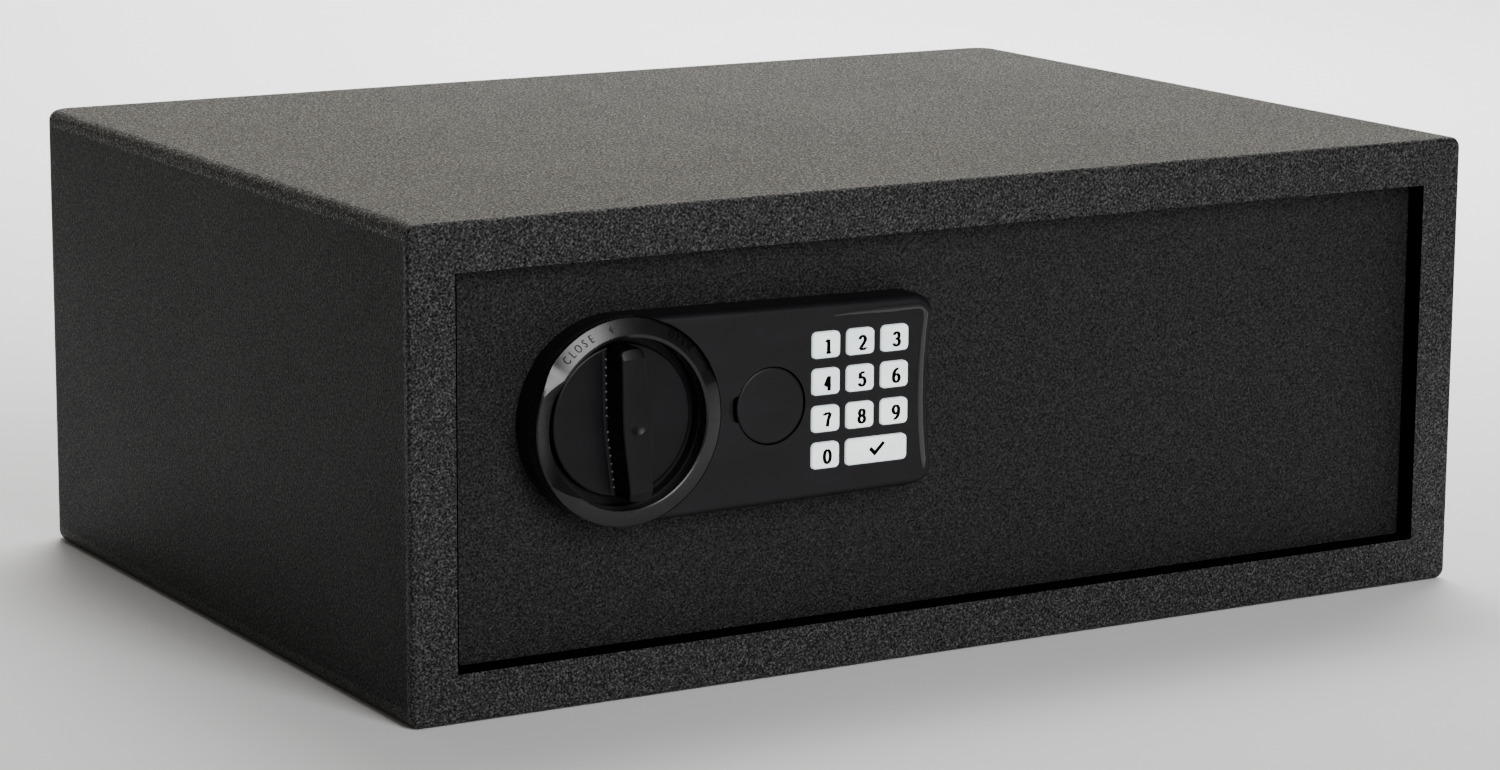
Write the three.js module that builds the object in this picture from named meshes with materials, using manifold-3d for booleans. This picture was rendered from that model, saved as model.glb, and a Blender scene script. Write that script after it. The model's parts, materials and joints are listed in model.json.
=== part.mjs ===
// An in-room safe: a welded steel body that is bolted to a shelf, and a door on two hidden hinge pins.
// The door carries a keypad, a knob that throws two bolts, a covered key override and a battery pack.
// Millimetres. +Z is up, the door faces -Y and +X is the right-hand side seen from the front.
// The origin is the middle of the body's footprint, on the face that it stands on.
import * as THREE from "three";
import { mergeVertices } from "three/addons/utils/BufferGeometryUtils.js";
import Module from "manifold-3d";

const wasm = await Module();
wasm.setup();

// ---------- Driving dimensions ----------
const WIDTH = 490;
const DEPTH = 360;
const HEIGHT = 190;
const SHEET = 2; // steel sheet of the body
const EDGE_RADIUS = 4.5; // long bends between the top, the sides and the base
const BACK_CORNER = 12; // upright bends at the back
const FRONT_BEND = 2; // bend round the front frame
const SEAM = 6.5; // width of the lips of the top and base panels
const SIDE_LIP = 3; // how far the side walls run on past the back bends
const FRAME_BORDER = 18; // steel visible round the door
const RETURN_DEPTH = 25; // how far the frame turns inwards round the opening
const DOOR_RECESS = 10; // door face behind the front face
const DOOR_THICKNESS = 5;
const TOP_GAP = 3.1; // above the door
const BOTTOM_GAP = 1.6;
const HINGE_SIDE_GAP = 0.8;
const LATCH_SIDE_GAP = 6.6;
const CLEAR = 0.3; // between pieces that pass through each other

// ---------- Planes that follow from them ----------
const FRONT = -DEPTH / 2;
const BACK = DEPTH / 2;
const FRAME_END = FRONT + RETURN_DEPTH;
const OPENING = {
  left: -WIDTH / 2 + FRAME_BORDER,
  right: WIDTH / 2 - FRAME_BORDER,
  bottom: FRAME_BORDER,
  top: HEIGHT - FRAME_BORDER,
};
const DOOR_FRONT = FRONT + DOOR_RECESS;
const DOOR_BACK = DOOR_FRONT + DOOR_THICKNESS;
const DOOR_TOP = OPENING.top - TOP_GAP;
const DOOR_BOTTOM = OPENING.bottom + BOTTOM_GAP;
const HINGE = { x: OPENING.right - 6, y: (DOOR_FRONT + DOOR_BACK) / 2 };

// ---------- Finishes ----------
function finish(color, roughness, metalness) {
  return new THREE.MeshStandardMaterial({ color, roughness, metalness });
}
const PAINT = finish(0x2b2b2c, 0.6, 0.2);
const BLACK_PLASTIC = finish(0x17171a, 0.5, 0);
const KEY_PLASTIC = finish(0xe4eaee, 0.45, 0);
const ZINC = finish(0xa9abac, 0.35, 0.9);
const STEEL = finish(0x8b8d90, 0.3, 1);
const BRASS = finish(0xb4924a, 0.35, 1);
const CARPET = finish(0x3b3c40, 0.95, 0);
const RUBBER = finish(0x2a2c2e, 0.8, 0);
const BOARD_GREEN = finish(0x1f5a3a, 0.5, 0);
const RIBBON_GREY = finish(0x9a9da0, 0.6, 0);
const BATTERY_SLEEVE = finish(0x3a5f8a, 0.35, 0.3);
const RED_PLASTIC = finish(0xb3261e, 0.4, 0);

// ---------- Solids ----------
const ALONG_X = new THREE.Vector3(1, 0, 0);
const ALONG_Y = new THREE.Vector3(0, 1, 0);
const ALONG_Z = new THREE.Vector3(0, 0, 1);
const PLANES = {
  XY: new THREE.Matrix4(),
  XZ: new THREE.Matrix4().makeBasis(ALONG_X, ALONG_Z, ALONG_Y.clone().negate()),
  YZ: new THREE.Matrix4().makeBasis(ALONG_Y, ALONG_Z, ALONG_X),
};

function solidOf(geometry) {
  geometry.deleteAttribute("normal");
  geometry.deleteAttribute("uv");
  const merged = mergeVertices(geometry, 1e-4);
  const mesh = new wasm.Mesh({
    numProp: 3,
    vertProperties: merged.getAttribute("position").array,
    triVerts: new Uint32Array(merged.index.array),
  });
  return new wasm.Manifold(mesh);
}

// Points of an arc, from one angle to another in degrees, in steps equal stretches.
function arc(across, up, radius, from, to, steps) {
  const points = [];
  for (let i = 0; i <= steps; i += 1) {
    const angle = THREE.MathUtils.degToRad(from + ((to - from) * i) / steps);
    points.push(new THREE.Vector2(across + radius * Math.cos(angle), up + radius * Math.sin(angle)));
  }
  return points;
}

// A closed outline, anticlockwise, with points that fall together left out.
function outline(points) {
  const kept = points.filter((point, i) => {
    const before = points[(i + points.length - 1) % points.length];
    return point.distanceTo(before) > 1e-4;
  });
  return new THREE.Shape(kept);
}

// radii: bottom left, bottom right, top right, top left, or one number for all four.
function roundedRectangle(left, bottom, right, top, radii, steps = 4) {
  const [a, b, c, d] = Array.isArray(radii) ? radii : [radii, radii, radii, radii];
  return outline([
    ...arc(right - b, bottom + b, b, -90, 0, steps),
    ...arc(right - c, top - c, c, 0, 90, steps),
    ...arc(left + d, top - d, d, 90, 180, steps),
    ...arc(left + a, bottom + a, a, 180, 270, steps),
  ]);
}

// plane names the two axes that the outline is drawn in; from and to are on the third.
function extrude(shape, plane, from, to, bevel = 0) {
  const geometry = new THREE.ExtrudeGeometry(shape, {
    depth: to - from - 2 * bevel,
    bevelEnabled: bevel > 0,
    bevelThickness: bevel,
    bevelSize: bevel,
    bevelOffset: -bevel,
    bevelSegments: 2,
    steps: 1,
  });
  const start = plane === "XZ" ? -to : from;
  geometry.translate(0, 0, start + bevel);
  geometry.applyMatrix4(PLANES[plane]);
  return solidOf(geometry);
}

function block(x, y, z) {
  const geometry = new THREE.BoxGeometry(x[1] - x[0], y[1] - y[0], z[1] - z[0]);
  geometry.translate((x[0] + x[1]) / 2, (y[0] + y[1]) / 2, (z[0] + z[1]) / 2);
  return solidOf(geometry);
}

// A rod whose round section is drawn in the named plane, round the point (across, up).
function rod(plane, across, up, radius, from, to, sides = 24) {
  const circle = outline(arc(across, up, radius, 0, 360, sides));
  return extrude(circle, plane, from, to);
}

// A ring turned round an axis along Y through (x, z); profile holds [radius, y] corners.
function ring(profile, x, z, sides = 48) {
  const points = profile.map(([radius, y]) => new THREE.Vector2(radius, y));
  if (THREE.ShapeUtils.area(points) < 0) points.reverse();
  points.push(points[0].clone());
  const geometry = new THREE.LatheGeometry(points, sides);
  geometry.translate(x, 0, z);
  return solidOf(geometry);
}

function cut(solid, ...tools) {
  return tools.reduce((left, tool) => left.subtract(tool), solid);
}

function join(solid, ...others) {
  return others.reduce((sum, other) => sum.add(other), solid);
}

function overlap(solid, ...others) {
  return others.reduce((common, other) => common.intersect(other), solid);
}

const safe = new THREE.Group();

function addPiece(name, solid, material) {
  const mesh = solid.getMesh();
  const geometry = new THREE.BufferGeometry();
  geometry.setAttribute("position", new THREE.BufferAttribute(mesh.vertProperties, 3));
  geometry.setIndex(new THREE.BufferAttribute(mesh.triVerts, 1));
  geometry.computeVertexNormals();
  const piece = new THREE.Mesh(geometry, material);
  piece.name = name;
  safe.add(piece);
}

// ---------- Body: sides, back, top and base panels, front frame ----------
const ANCHOR_RADIUS = 6;
const BASE_ANCHOR = { x: 215, y: 20 };
const BACK_ANCHOR = { x: 150, z: 95 };

function bodyBlock(inset) {
  const left = -WIDTH / 2 + inset;
  const right = WIDTH / 2 - inset;
  const front = FRONT + inset;
  const back = BACK - inset;
  const top = HEIGHT - inset;
  const edge = EDGE_RADIUS - inset;
  const bend = Math.max(FRONT_BEND - inset, 0);
  const corner = BACK_CORNER - inset;
  const fromFront = roundedRectangle(left, inset, right, top, edge);
  const fromAbove = roundedRectangle(left, front, right, back, [bend, bend, corner, corner]);
  const fromSide = roundedRectangle(front, inset, back, top, [bend, edge, edge, bend]);
  return overlap(
    extrude(fromFront, "XZ", front, back),
    extrude(fromAbove, "XY", inset, top),
    extrude(fromSide, "YZ", left, right),
  );
}

function addBody() {
  const shell = cut(bodyBlock(0), bodyBlock(SHEET));
  const joint = FRONT + 2 * SHEET;
  const wide = [-WIDTH, WIDTH];
  const behind = [joint, DEPTH];
  const opening = block(
    [OPENING.left, OPENING.right],
    [-DEPTH, FRAME_END + 1],
    [OPENING.bottom, OPENING.top],
  );
  const returns = block(
    [OPENING.left - SHEET, OPENING.right + SHEET],
    [FRONT + SHEET / 2, FRAME_END],
    [OPENING.bottom - SHEET, OPENING.top + SHEET],
  );
  const hingeHole = rod("XY", HINGE.x, HINGE.y, PIN_RADIUS + 2 * CLEAR, -1, HEIGHT + 1, 16);
  const frameFace = overlap(shell, block(wide, [-DEPTH, joint], [-1, HEIGHT + 1]));
  const folded = cut(join(frameFace, returns), opening);
  const insideSkin = block(wide, [-DEPTH, 0], [FRAME_BORDER / 2, HEIGHT - FRAME_BORDER / 2]);
  addPiece("front_frame", cut(folded, overlap(hingeHole, insideSkin)), PAINT);

  const baseHoles = [-1, 1].map((side) =>
    rod("XY", side * BASE_ANCHOR.x, BASE_ANCHOR.y, ANCHOR_RADIUS, -1, SHEET + 1, 16),
  );
  const backHoles = [-1, 1].map((side) =>
    rod("XZ", side * BACK_ANCHOR.x, BACK_ANCHOR.z, ANCHOR_RADIUS, BACK - SHEET - 1, BACK + 1, 16),
  );
  addPiece("base_panel", cut(overlap(shell, block(wide, behind, [-1, SEAM])), ...baseHoles), PAINT);
  addPiece("top_panel", overlap(shell, block(wide, behind, [HEIGHT - SEAM, HEIGHT + 1])), PAINT);
  const walls = overlap(shell, block(wide, behind, [SEAM, HEIGHT - SEAM]));
  const backHalf = WIDTH / 2 - BACK_CORNER - SIDE_LIP;
  const between = (from, to) => overlap(walls, block([from, to], behind, [0, HEIGHT]));
  addPiece("left_side", between(-WIDTH, -backHalf), PAINT);
  addPiece("right_side", between(backHalf, WIDTH), PAINT);
  addPiece("back_panel", cut(between(-backHalf, backHalf), ...backHoles), PAINT);
}

// The carpet lies loose on the floor between the two anchor holes.
const MAT = { halfWidth: 200, front: -146, back: 168, thickness: 3, corner: 8 };

function addFloorMat() {
  const shape = roundedRectangle(-MAT.halfWidth, MAT.front, MAT.halfWidth, MAT.back, MAT.corner);
  const bottom = SHEET + CLEAR;
  addPiece("floor_mat", extrude(shape, "XY", bottom, bottom + MAT.thickness), CARPET);
}

// ---------- Door: where its pieces are ----------
const PIN_RADIUS = 1.8;
const PIN_IN_DOOR = 20;
const PIN_PROUD = 0.8; // past the sheet that it turns in
const KNOB = { x: -156, z: 109 };
const CYLINDER = { x: -93.8, z: 109.3 };
const HOUSING_FRONT = FRONT - 5;
const WALL = 2.2;

const BEZEL = { outer: 40, inner: 33, crest: HOUSING_FRONT - 1.5, seat: FRONT };
const KNOB_DISC = { radius: 29.5, front: FRONT, back: FRONT + 4 };
const WELL_FLOOR = KNOB_DISC.back + 0.6;
const GRIP = {
  front: FRONT - 12.5,
  halfLength: 29.2,
  midHalfWidth: 6.2,
  endHalfWidth: 5,
  endInset: 2,
  edge: 0.8,
  lean: 4, // degrees anticlockwise, seen from the front
};
const SPINDLE = { radius: 5, end: -158, clear: 0.8 };

const CAP = { radius: 14.9, front: HOUSING_FRONT + 0.2, disc: 2, skirt: 2.2, clear: 0.5 };
const NOTCH = { x: -107.3, radius: 5.4, depth: 3 }; // half-round finger notch beside the cap
const BARREL = { radius: 11, front: FRONT, back: -150, clear: 0.6 };
const PLUG = { radius: 6, back: -147, keywayDepth: 14 };

const KEY = { width: 12.3, height: 10.2, proud: 0.8, depth: 3.6, corner: 1.8, travel: 1.5, play: 0.35 };
const KEY_COLUMNS = [-69.5, -54, -38.4];
const KEY_ROWS = [130.9, 116.5, 101.9, 87.5];
const ENTER_KEY = { left: -60.2, right: -32.5 };

const COVER = { left: -205, right: 175, bottom: 30, top: 160, back: -122, sheet: 1.5, corner: 5 };
const BOLT = { radius: 6, y: -139, low: 60, high: 140, tip: -222, end: -177 };
const CARRIAGE = { front: -151, back: -148, right: -120, low: 52, high: 148, step: -139, stepTop: 128 };
const CRANK = { throw: 14, pin: 3, hub: 8, eye: 5, arm: 4, pinReach: 9 };
const STUDS = [
  { x: -160, z: 72 },
  { x: -160, z: 138 },
];
const THROW = CRANK.throw * Math.SQRT2; // bolt travel for a quarter turn of the knob
const CRANK_PIN = { x: KNOB.x + THROW / 2, z: KNOB.z + THROW / 2 };

// ---------- Door plate and hinge pins ----------
function addDoorPlate() {
  const left = OPENING.left + LATCH_SIDE_GAP;
  const right = OPENING.right - HINGE_SIDE_GAP;
  const face = roundedRectangle(left, DOOR_BOTTOM, right, DOOR_TOP, 1);
  const through = [DOOR_FRONT - 1, DOOR_BACK + 1];
  const pinHole = PIN_RADIUS + CLEAR;
  addPiece(
    "door_plate",
    cut(
      extrude(face, "XZ", DOOR_FRONT, DOOR_BACK),
      rod("XZ", KNOB.x, KNOB.z, BUSH.sleeve + CLEAR, ...through),
      rod("XZ", CYLINDER.x, CYLINDER.z, BARREL.radius + BARREL.clear, ...through),
      block(RIBBON_SLOT.x, through, RIBBON_SLOT.z),
      rod("XY", HINGE.x, HINGE.y, pinHole, DOOR_TOP - PIN_IN_DOOR, HEIGHT, 16),
      rod("XY", HINGE.x, HINGE.y, pinHole, 0, DOOR_BOTTOM + PIN_IN_DOOR, 16),
    ),
    PAINT,
  );
}

function addHingePins() {
  const inside = PIN_IN_DOOR - CLEAR;
  const outside = SHEET + PIN_PROUD;
  const spans = {
    hinge_pin_upper: [DOOR_TOP - inside, OPENING.top + outside],
    hinge_pin_lower: [OPENING.bottom - outside, DOOR_BOTTOM + inside],
  };
  for (const [name, [from, to]] of Object.entries(spans)) {
    addPiece(name, rod("XY", HINGE.x, HINGE.y, PIN_RADIUS, from, to, 16), STEEL);
  }
}

// ---------- Lock housing and the round bezel on its left end ----------
const HOUSING = { right: -19.5, low: 71, high: 147, corner: 8, waist: 2.1, bevel: 1.6 };

function housingOutline(inset) {
  const corner = HOUSING.corner - inset;
  const cornerX = HOUSING.right - HOUSING.corner;
  const low = HOUSING.low + HOUSING.corner;
  const high = HOUSING.high - HOUSING.corner;
  const halfChord = (high - low) / 2;
  const waistRadius = (halfChord ** 2 + HOUSING.waist ** 2) / (2 * HOUSING.waist) + inset;
  const waistAngle = THREE.MathUtils.radToDeg(Math.asin(halfChord / waistRadius));
  const waistX = HOUSING.right - HOUSING.waist + waistRadius - inset;
  const middle = (low + high) / 2;
  return [
    ...arc(cornerX, low, corner, -90, 0, 5),
    ...arc(waistX, middle, waistRadius, 180 + waistAngle, 180 - waistAngle, 8),
    ...arc(cornerX, high, corner, 0, 90, 5),
  ];
}

function addHousing() {
  const shape = outline([...housingOutline(0), ...arc(KNOB.x, KNOB.z, BEZEL.outer, 88, 272, 30)]);
  const bevelled = extrude(shape, "XZ", HOUSING_FRONT, DOOR_BACK, HOUSING.bevel);
  const solid = overlap(bevelled, block([-WIDTH, WIDTH], [-DEPTH, DOOR_FRONT], [0, HEIGHT]));
  const hollowLeft = KNOB.x + BEZEL.outer + WALL;
  const hollow = extrude(
    outline([
      ...housingOutline(WALL),
      new THREE.Vector2(hollowLeft, HOUSING.high - WALL),
      new THREE.Vector2(hollowLeft, HOUSING.low + WALL),
    ]),
    "XZ",
    HOUSING_FRONT + WALL,
    DOOR_FRONT + 1,
  );
  const pocket = CAP.radius + CAP.clear;
  const pocketFloor = CAP.front + CAP.disc + CAP.skirt + CLEAR;
  const cup = join(
    rod("XZ", CYLINDER.x, CYLINDER.z, pocket + WALL, HOUSING_FRONT, DOOR_FRONT, 32),
    rod("XZ", NOTCH.x, CYLINDER.z, NOTCH.radius + WALL, HOUSING_FRONT, DOOR_FRONT, 20),
  );
  const ahead = HOUSING_FRONT - 1;
  const behind = DOOR_FRONT + 1;
  const holes = [
    rod("XZ", KNOB.x, KNOB.z, BEZEL.outer + 0.1, ahead, BEZEL.seat, 60),
    rod("XZ", KNOB.x, KNOB.z, BEZEL.inner, ahead, WELL_FLOOR, 48),
    rod("XZ", KNOB.x, KNOB.z, SPINDLE.radius + SPINDLE.clear, FRONT, behind, 24),
    rod("XZ", CYLINDER.x, CYLINDER.z, pocket, ahead, pocketFloor, 36),
    rod("XZ", CYLINDER.x, CYLINDER.z, BARREL.radius + BARREL.clear, pocketFloor - 1, behind, 28),
    rod("XZ", NOTCH.x, CYLINDER.z, NOTCH.radius, ahead, HOUSING_FRONT + NOTCH.depth, 20),
  ];
  for (const place of keyPlaces()) {
    holes.push(extrude(keyOutline(place, KEY.play), "XZ", ahead, HOUSING_FRONT + WALL + 1));
  }
  addPiece("lock_housing", cut(solid, cut(hollow, cup), ...holes), BLACK_PLASTIC);
}

function addBezel() {
  const { outer, inner, crest, seat } = BEZEL;
  const rim = outer - 0.2;
  const profile = [
    [inner, seat],
    [inner, crest + 1.2],
    [inner + 0.8, crest],
    [rim - 3, crest],
    [rim, HOUSING_FRONT + 0.6],
    [rim, seat],
  ];
  addPiece("knob_bezel", ring(profile, KNOB.x, KNOB.z), BLACK_PLASTIC);
}

// ---------- Knob, its spindle and the crank that drives the bolts ----------
const BUSH = { sleeve: 8, flange: 11, bore: 5.5, flangeThickness: 2 };

function addKnob() {
  const { halfLength, midHalfWidth, endHalfWidth } = GRIP;
  const bulge = (midHalfWidth - endHalfWidth) / 2;
  const edge = (side) =>
    [-0.9, -0.6, -0.3, 0, 0.3, 0.6, 0.9].map((place) => {
      const halfWidth = endHalfWidth + bulge * (1 + Math.cos(Math.PI * place));
      return new THREE.Vector2(side * halfWidth, side * place * (halfLength - GRIP.endInset));
    });
  const round = endHalfWidth;
  const grip = extrude(
    outline([
      ...edge(1),
      ...arc(0, halfLength - round, round, 30, 150, 6),
      ...edge(-1),
      ...arc(0, round - halfLength, round, 210, 330, 6),
    ]),
    "XZ",
    GRIP.front,
    KNOB_DISC.front + 1,
    GRIP.edge,
  );
  const disc = rod("XZ", 0, 0, KNOB_DISC.radius, KNOB_DISC.front, KNOB_DISC.back, 48);
  const whole = join(disc, grip);
  const leaned = whole.rotate([0, -GRIP.lean, 0]).translate([KNOB.x, 0, KNOB.z]);
  addPiece("knob", leaned, BLACK_PLASTIC);

  const spindle = rod("XZ", KNOB.x, KNOB.z, SPINDLE.radius, KNOB_DISC.back, SPINDLE.end, 20);
  addPiece("knob_spindle", spindle, STEEL);

  const crankShape = outline([
    ...arc(KNOB.x, KNOB.z, CRANK.hub, 145, 305, 10),
    ...arc(CRANK_PIN.x, CRANK_PIN.z, CRANK.eye, -55, 145, 10),
  ]);
  const crankBack = SPINDLE.end + CRANK.arm;
  const arm = extrude(crankShape, "XZ", SPINDLE.end, crankBack);
  const pin = rod("XZ", CRANK_PIN.x, CRANK_PIN.z, CRANK.pin, SPINDLE.end, crankBack + CRANK.pinReach, 16);
  addPiece("crank", join(arm, pin), ZINC);
}

function addSpindleBush() {
  const { sleeve, flange, bore } = BUSH;
  const front = DOOR_FRONT + CLEAR;
  const back = DOOR_BACK + BUSH.flangeThickness;
  const profile = [
    [bore, front],
    [sleeve, front],
    [sleeve, DOOR_BACK],
    [flange, DOOR_BACK],
    [flange, back],
    [bore, back],
  ];
  addPiece("spindle_bush", ring(profile, KNOB.x, KNOB.z, 24), BRASS);
}

// ---------- Keypad ----------
function keyPlaces() {
  const places = [];
  KEY_ROWS.slice(0, 3).forEach((z, row) => {
    KEY_COLUMNS.forEach((x, column) => {
      places.push({ name: `key_${3 * row + column + 1}`, x, z, width: KEY.width });
    });
  });
  const lastRow = KEY_ROWS[3];
  places.push({ name: "key_0", x: KEY_COLUMNS[0], z: lastRow, width: KEY.width });
  const enterX = (ENTER_KEY.left + ENTER_KEY.right) / 2;
  places.push({ name: "key_enter", x: enterX, z: lastRow, width: ENTER_KEY.right - ENTER_KEY.left });
  return places;
}

// A key's outline seen from the front, or its hole's when it is grown.
function keyOutline({ x, z, width }, grown) {
  const halfWidth = width / 2 + grown;
  const halfHeight = KEY.height / 2 + grown;
  const corner = KEY.corner + grown;
  return roundedRectangle(x - halfWidth, z - halfHeight, x + halfWidth, z + halfHeight, corner, 3);
}

const RIBBON_SLOT = { x: [-66, -42], z: [105, 118] };
const RIBBON = { x: [-62, -46], z: [111, 111.8] };
const KEYPAD_SPAN = { x: [-75.8, -31], z: [80, 138] };
const MAIN_BOARD = { x: [-75, -5], z: [84, 150], stand: 5 };
const MEMBRANE = 1.5; // thickness of the rubber mat under the keys
const BOARD = 1.6; // thickness of the circuit boards

function addKeypad() {
  const front = HOUSING_FRONT - KEY.proud;
  const back = front + KEY.depth;
  for (const place of keyPlaces()) {
    addPiece(place.name, extrude(keyOutline(place, 0), "XZ", front, back, 0.3), KEY_PLASTIC);
  }
  const membraneFront = back + KEY.travel + CLEAR;
  const membraneBack = membraneFront + MEMBRANE;
  const boardFront = membraneBack + CLEAR;
  const boardBack = boardFront + BOARD;
  const mainFront = DOOR_BACK + MAIN_BOARD.stand;
  const layer = (span, from, to) => block(span.x, [from, to], span.z);
  addPiece("keypad_membrane", layer(KEYPAD_SPAN, membraneFront, membraneBack), RUBBER);
  addPiece("keypad_board", layer(KEYPAD_SPAN, boardFront, boardBack), BOARD_GREEN);
  addPiece("main_board", layer(MAIN_BOARD, mainFront, mainFront + BOARD), BOARD_GREEN);
  addPiece("keypad_ribbon", layer(RIBBON, boardBack + 0.1, mainFront - 0.1), RIBBON_GREY);
}

// ---------- Key override: pull-off cap, lock barrel, plug and cam ----------
function addOverride() {
  const discBack = CAP.front + CAP.disc;
  const disc = rod("XZ", CYLINDER.x, CYLINDER.z, CAP.radius, CAP.front, discBack, 36);
  const skirtOutside = CAP.radius - 0.6;
  const skirtInside = CAP.radius - 2;
  const skirtProfile = [
    [skirtInside, discBack - 0.5],
    [skirtOutside, discBack - 0.5],
    [skirtOutside, discBack + CAP.skirt],
    [skirtInside, discBack + CAP.skirt],
  ];
  const skirt = ring(skirtProfile, CYLINDER.x, CYLINDER.z, 36);
  addPiece("override_cover", join(disc, skirt), BLACK_PLASTIC);

  const barrel = rod("XZ", CYLINDER.x, CYLINDER.z, BARREL.radius, BARREL.front, BARREL.back, 28);
  const bore = rod("XZ", CYLINDER.x, CYLINDER.z, PLUG.radius + 0.4, -WIDTH, WIDTH, 24);
  addPiece("lock_barrel", cut(barrel, bore), ZINC);

  const plug = rod("XZ", CYLINDER.x, CYLINDER.z, PLUG.radius, BARREL.front - 0.2, PLUG.back, 24);
  const keyway = block(
    [CYLINDER.x - 1, CYLINDER.x + 1],
    [-WIDTH, BARREL.front + PLUG.keywayDepth],
    [CYLINDER.z - 4, CYLINDER.z + 4],
  );
  addPiece("key_plug", cut(plug, keyway), BRASS);

  const camShape = outline([
    ...arc(CYLINDER.x, CYLINDER.z, 7, -35, 215, 12),
    ...arc(CYLINDER.x, CYLINDER.z - 14, 4, 180, 360, 6),
  ]);
  addPiece("override_cam", extrude(camShape, "XZ", PLUG.back, PLUG.back + 3), ZINC);
}

// ---------- Bolt work ----------
const SLOT_PLAY = 0.7; // round the crank pin and the studs
const CRANK_SLOT = { bottom: 112, top: 130 };
const STUD = { shank: 3, head: 5.5, headThickness: 2.4, gap: 0.6 };
const GUIDE = { x: -200, foot: 12, bottom: 46, top: 149, reach: BOLT.y + 9, clear: 0.6 };

function addBoltWork() {
  const { front, back, right, low, high, step, stepTop } = CARRIAGE;
  const through = [front - 1, back + 1];
  const slot = (fromX, toX, fromZ, toZ, half) =>
    extrude(roundedRectangle(fromX - half, fromZ - half, toX + half, toZ + half, half), "XZ", ...through);
  const pinHalf = CRANK.pin + SLOT_PLAY;
  const studHalf = STUD.shank + SLOT_PLAY;
  const plate = cut(
    block([BOLT.end, right], [front, back], [low, high]),
    block([step, right + 1], through, [stepTop, high + 1]),
    slot(CRANK_PIN.x, CRANK_PIN.x, CRANK_SLOT.bottom + pinHalf, CRANK_SLOT.top - pinHalf, pinHalf),
    ...STUDS.map(({ x, z }) => slot(x, x + THROW, z, z, studHalf)),
  );
  const flange = block([BOLT.end, BOLT.end + 3], [front, BOLT.y + 8], [low, high]);
  addPiece("bolt_carriage", join(plate, flange), ZINC);

  const heights = { bolt_upper: BOLT.high, bolt_lower: BOLT.low };
  for (const [name, z] of Object.entries(heights)) {
    addPiece(name, rod("YZ", BOLT.y, z, BOLT.radius, BOLT.tip, BOLT.end, 24), STEEL);
  }

  const guideSpan = [GUIDE.bottom, GUIDE.top];
  const upright = block([GUIDE.x, GUIDE.x + SHEET], [DOOR_BACK, GUIDE.reach], guideSpan);
  const foot = block([GUIDE.x, GUIDE.x + GUIDE.foot], [DOOR_BACK, DOOR_BACK + SHEET], guideSpan);
  const guideHoles = Object.values(heights).map((z) =>
    rod("YZ", BOLT.y, z, BOLT.radius + GUIDE.clear, GUIDE.x - 1, GUIDE.x + SHEET + 1, 24),
  );
  addPiece("bolt_guide", cut(join(upright, foot), ...guideHoles), ZINC);

  const headFront = back + STUD.gap;
  STUDS.forEach(({ x, z }, i) => {
    const shank = rod("XZ", x, z, STUD.shank, DOOR_BACK, headFront, 16);
    const head = rod("XZ", x, z, STUD.head, headFront, headFront + STUD.headThickness, 16);
    addPiece(`guide_stud_${i + 1}`, join(shank, head), STEEL);
  });
}

// The solenoid's plunger drops behind the carriage when the bolts are out.
const SOLENOID = { left: -139, right: -113, bottom: 134, top: 157, behind: 11.5, capThickness: 1.5 };
const PLUNGER = { x: -127, radius: 3, bore: 3.5, length: 21, gap: 0.7 };

function addSolenoid() {
  const y = (CARRIAGE.front + CARRIAGE.back) / 2;
  const { left, right, bottom, top, behind, capThickness } = SOLENOID;
  const coil = block([left, right], [DOOR_BACK, y + behind], [bottom, top]);
  const bore = rod("XY", PLUNGER.x, y, PLUNGER.bore, bottom - 1, top - capThickness, 16);
  addPiece("solenoid_coil", cut(coil, bore), ZINC);
  const tip = CARRIAGE.stepTop + PLUNGER.gap;
  const plunger = rod("XY", PLUNGER.x, y, PLUNGER.radius, tip, tip + PLUNGER.length, 16);
  addPiece("solenoid_plunger", plunger, STEEL);
}

// ---------- Battery pack ----------
const CELL = { radius: 7.25, length: 50.5, nub: 1.5, nubRadius: 2.6, pitch: 15.6, count: 4 };
const CASE = { left: 38, right: 110, bottom: 58, top: 126, front: -150, wall: 3 };
const LID = { thickness: 2, corner: 3 };

function addBatteries() {
  const coverInside = COVER.back - COVER.sheet;
  const box = block([CASE.left, CASE.right], [CASE.front, coverInside], [CASE.bottom, CASE.top]);
  const pocket = block(
    [CASE.left + CASE.wall, CASE.right - CASE.wall],
    [CASE.front + CASE.wall, 0],
    [CASE.bottom + CASE.wall + 1, CASE.top - CASE.wall - 1],
  );
  addPiece("battery_case", cut(box, pocket), BLACK_PLASTIC);

  const middle = (CASE.left + CASE.right) / 2;
  const y = CASE.front + CASE.wall + CELL.radius + CLEAR;
  const bottom = (CASE.bottom + CASE.top - CELL.length) / 2;
  for (let i = 0; i < CELL.count; i += 1) {
    const x = middle + (i - (CELL.count - 1) / 2) * CELL.pitch;
    const shoulder = bottom + CELL.length - CELL.nub;
    const can = rod("XY", x, y, CELL.radius, bottom, shoulder, 20);
    const nub = rod("XY", x, y, CELL.nubRadius, shoulder - 0.5, bottom + CELL.length, 12);
    addPiece(`battery_${i + 1}`, join(can, nub), BATTERY_SLEEVE);
  }

  const lidFront = COVER.back + 0.2;
  const lidShape = roundedRectangle(CASE.left, CASE.bottom + 2, CASE.right, CASE.top - 2, LID.corner);
  addPiece("battery_lid", extrude(lidShape, "XZ", lidFront, lidFront + LID.thickness), BLACK_PLASTIC);
}

// ---------- Reset button and its switch ----------
const RESET = { x: 150, z: 92, front: -131.5, radius: 4, proud: 1.5, collar: 5.5, hole: 4.6 };
const RESET_SWITCH = { half: 7, front: -150, back: -134 };

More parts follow.
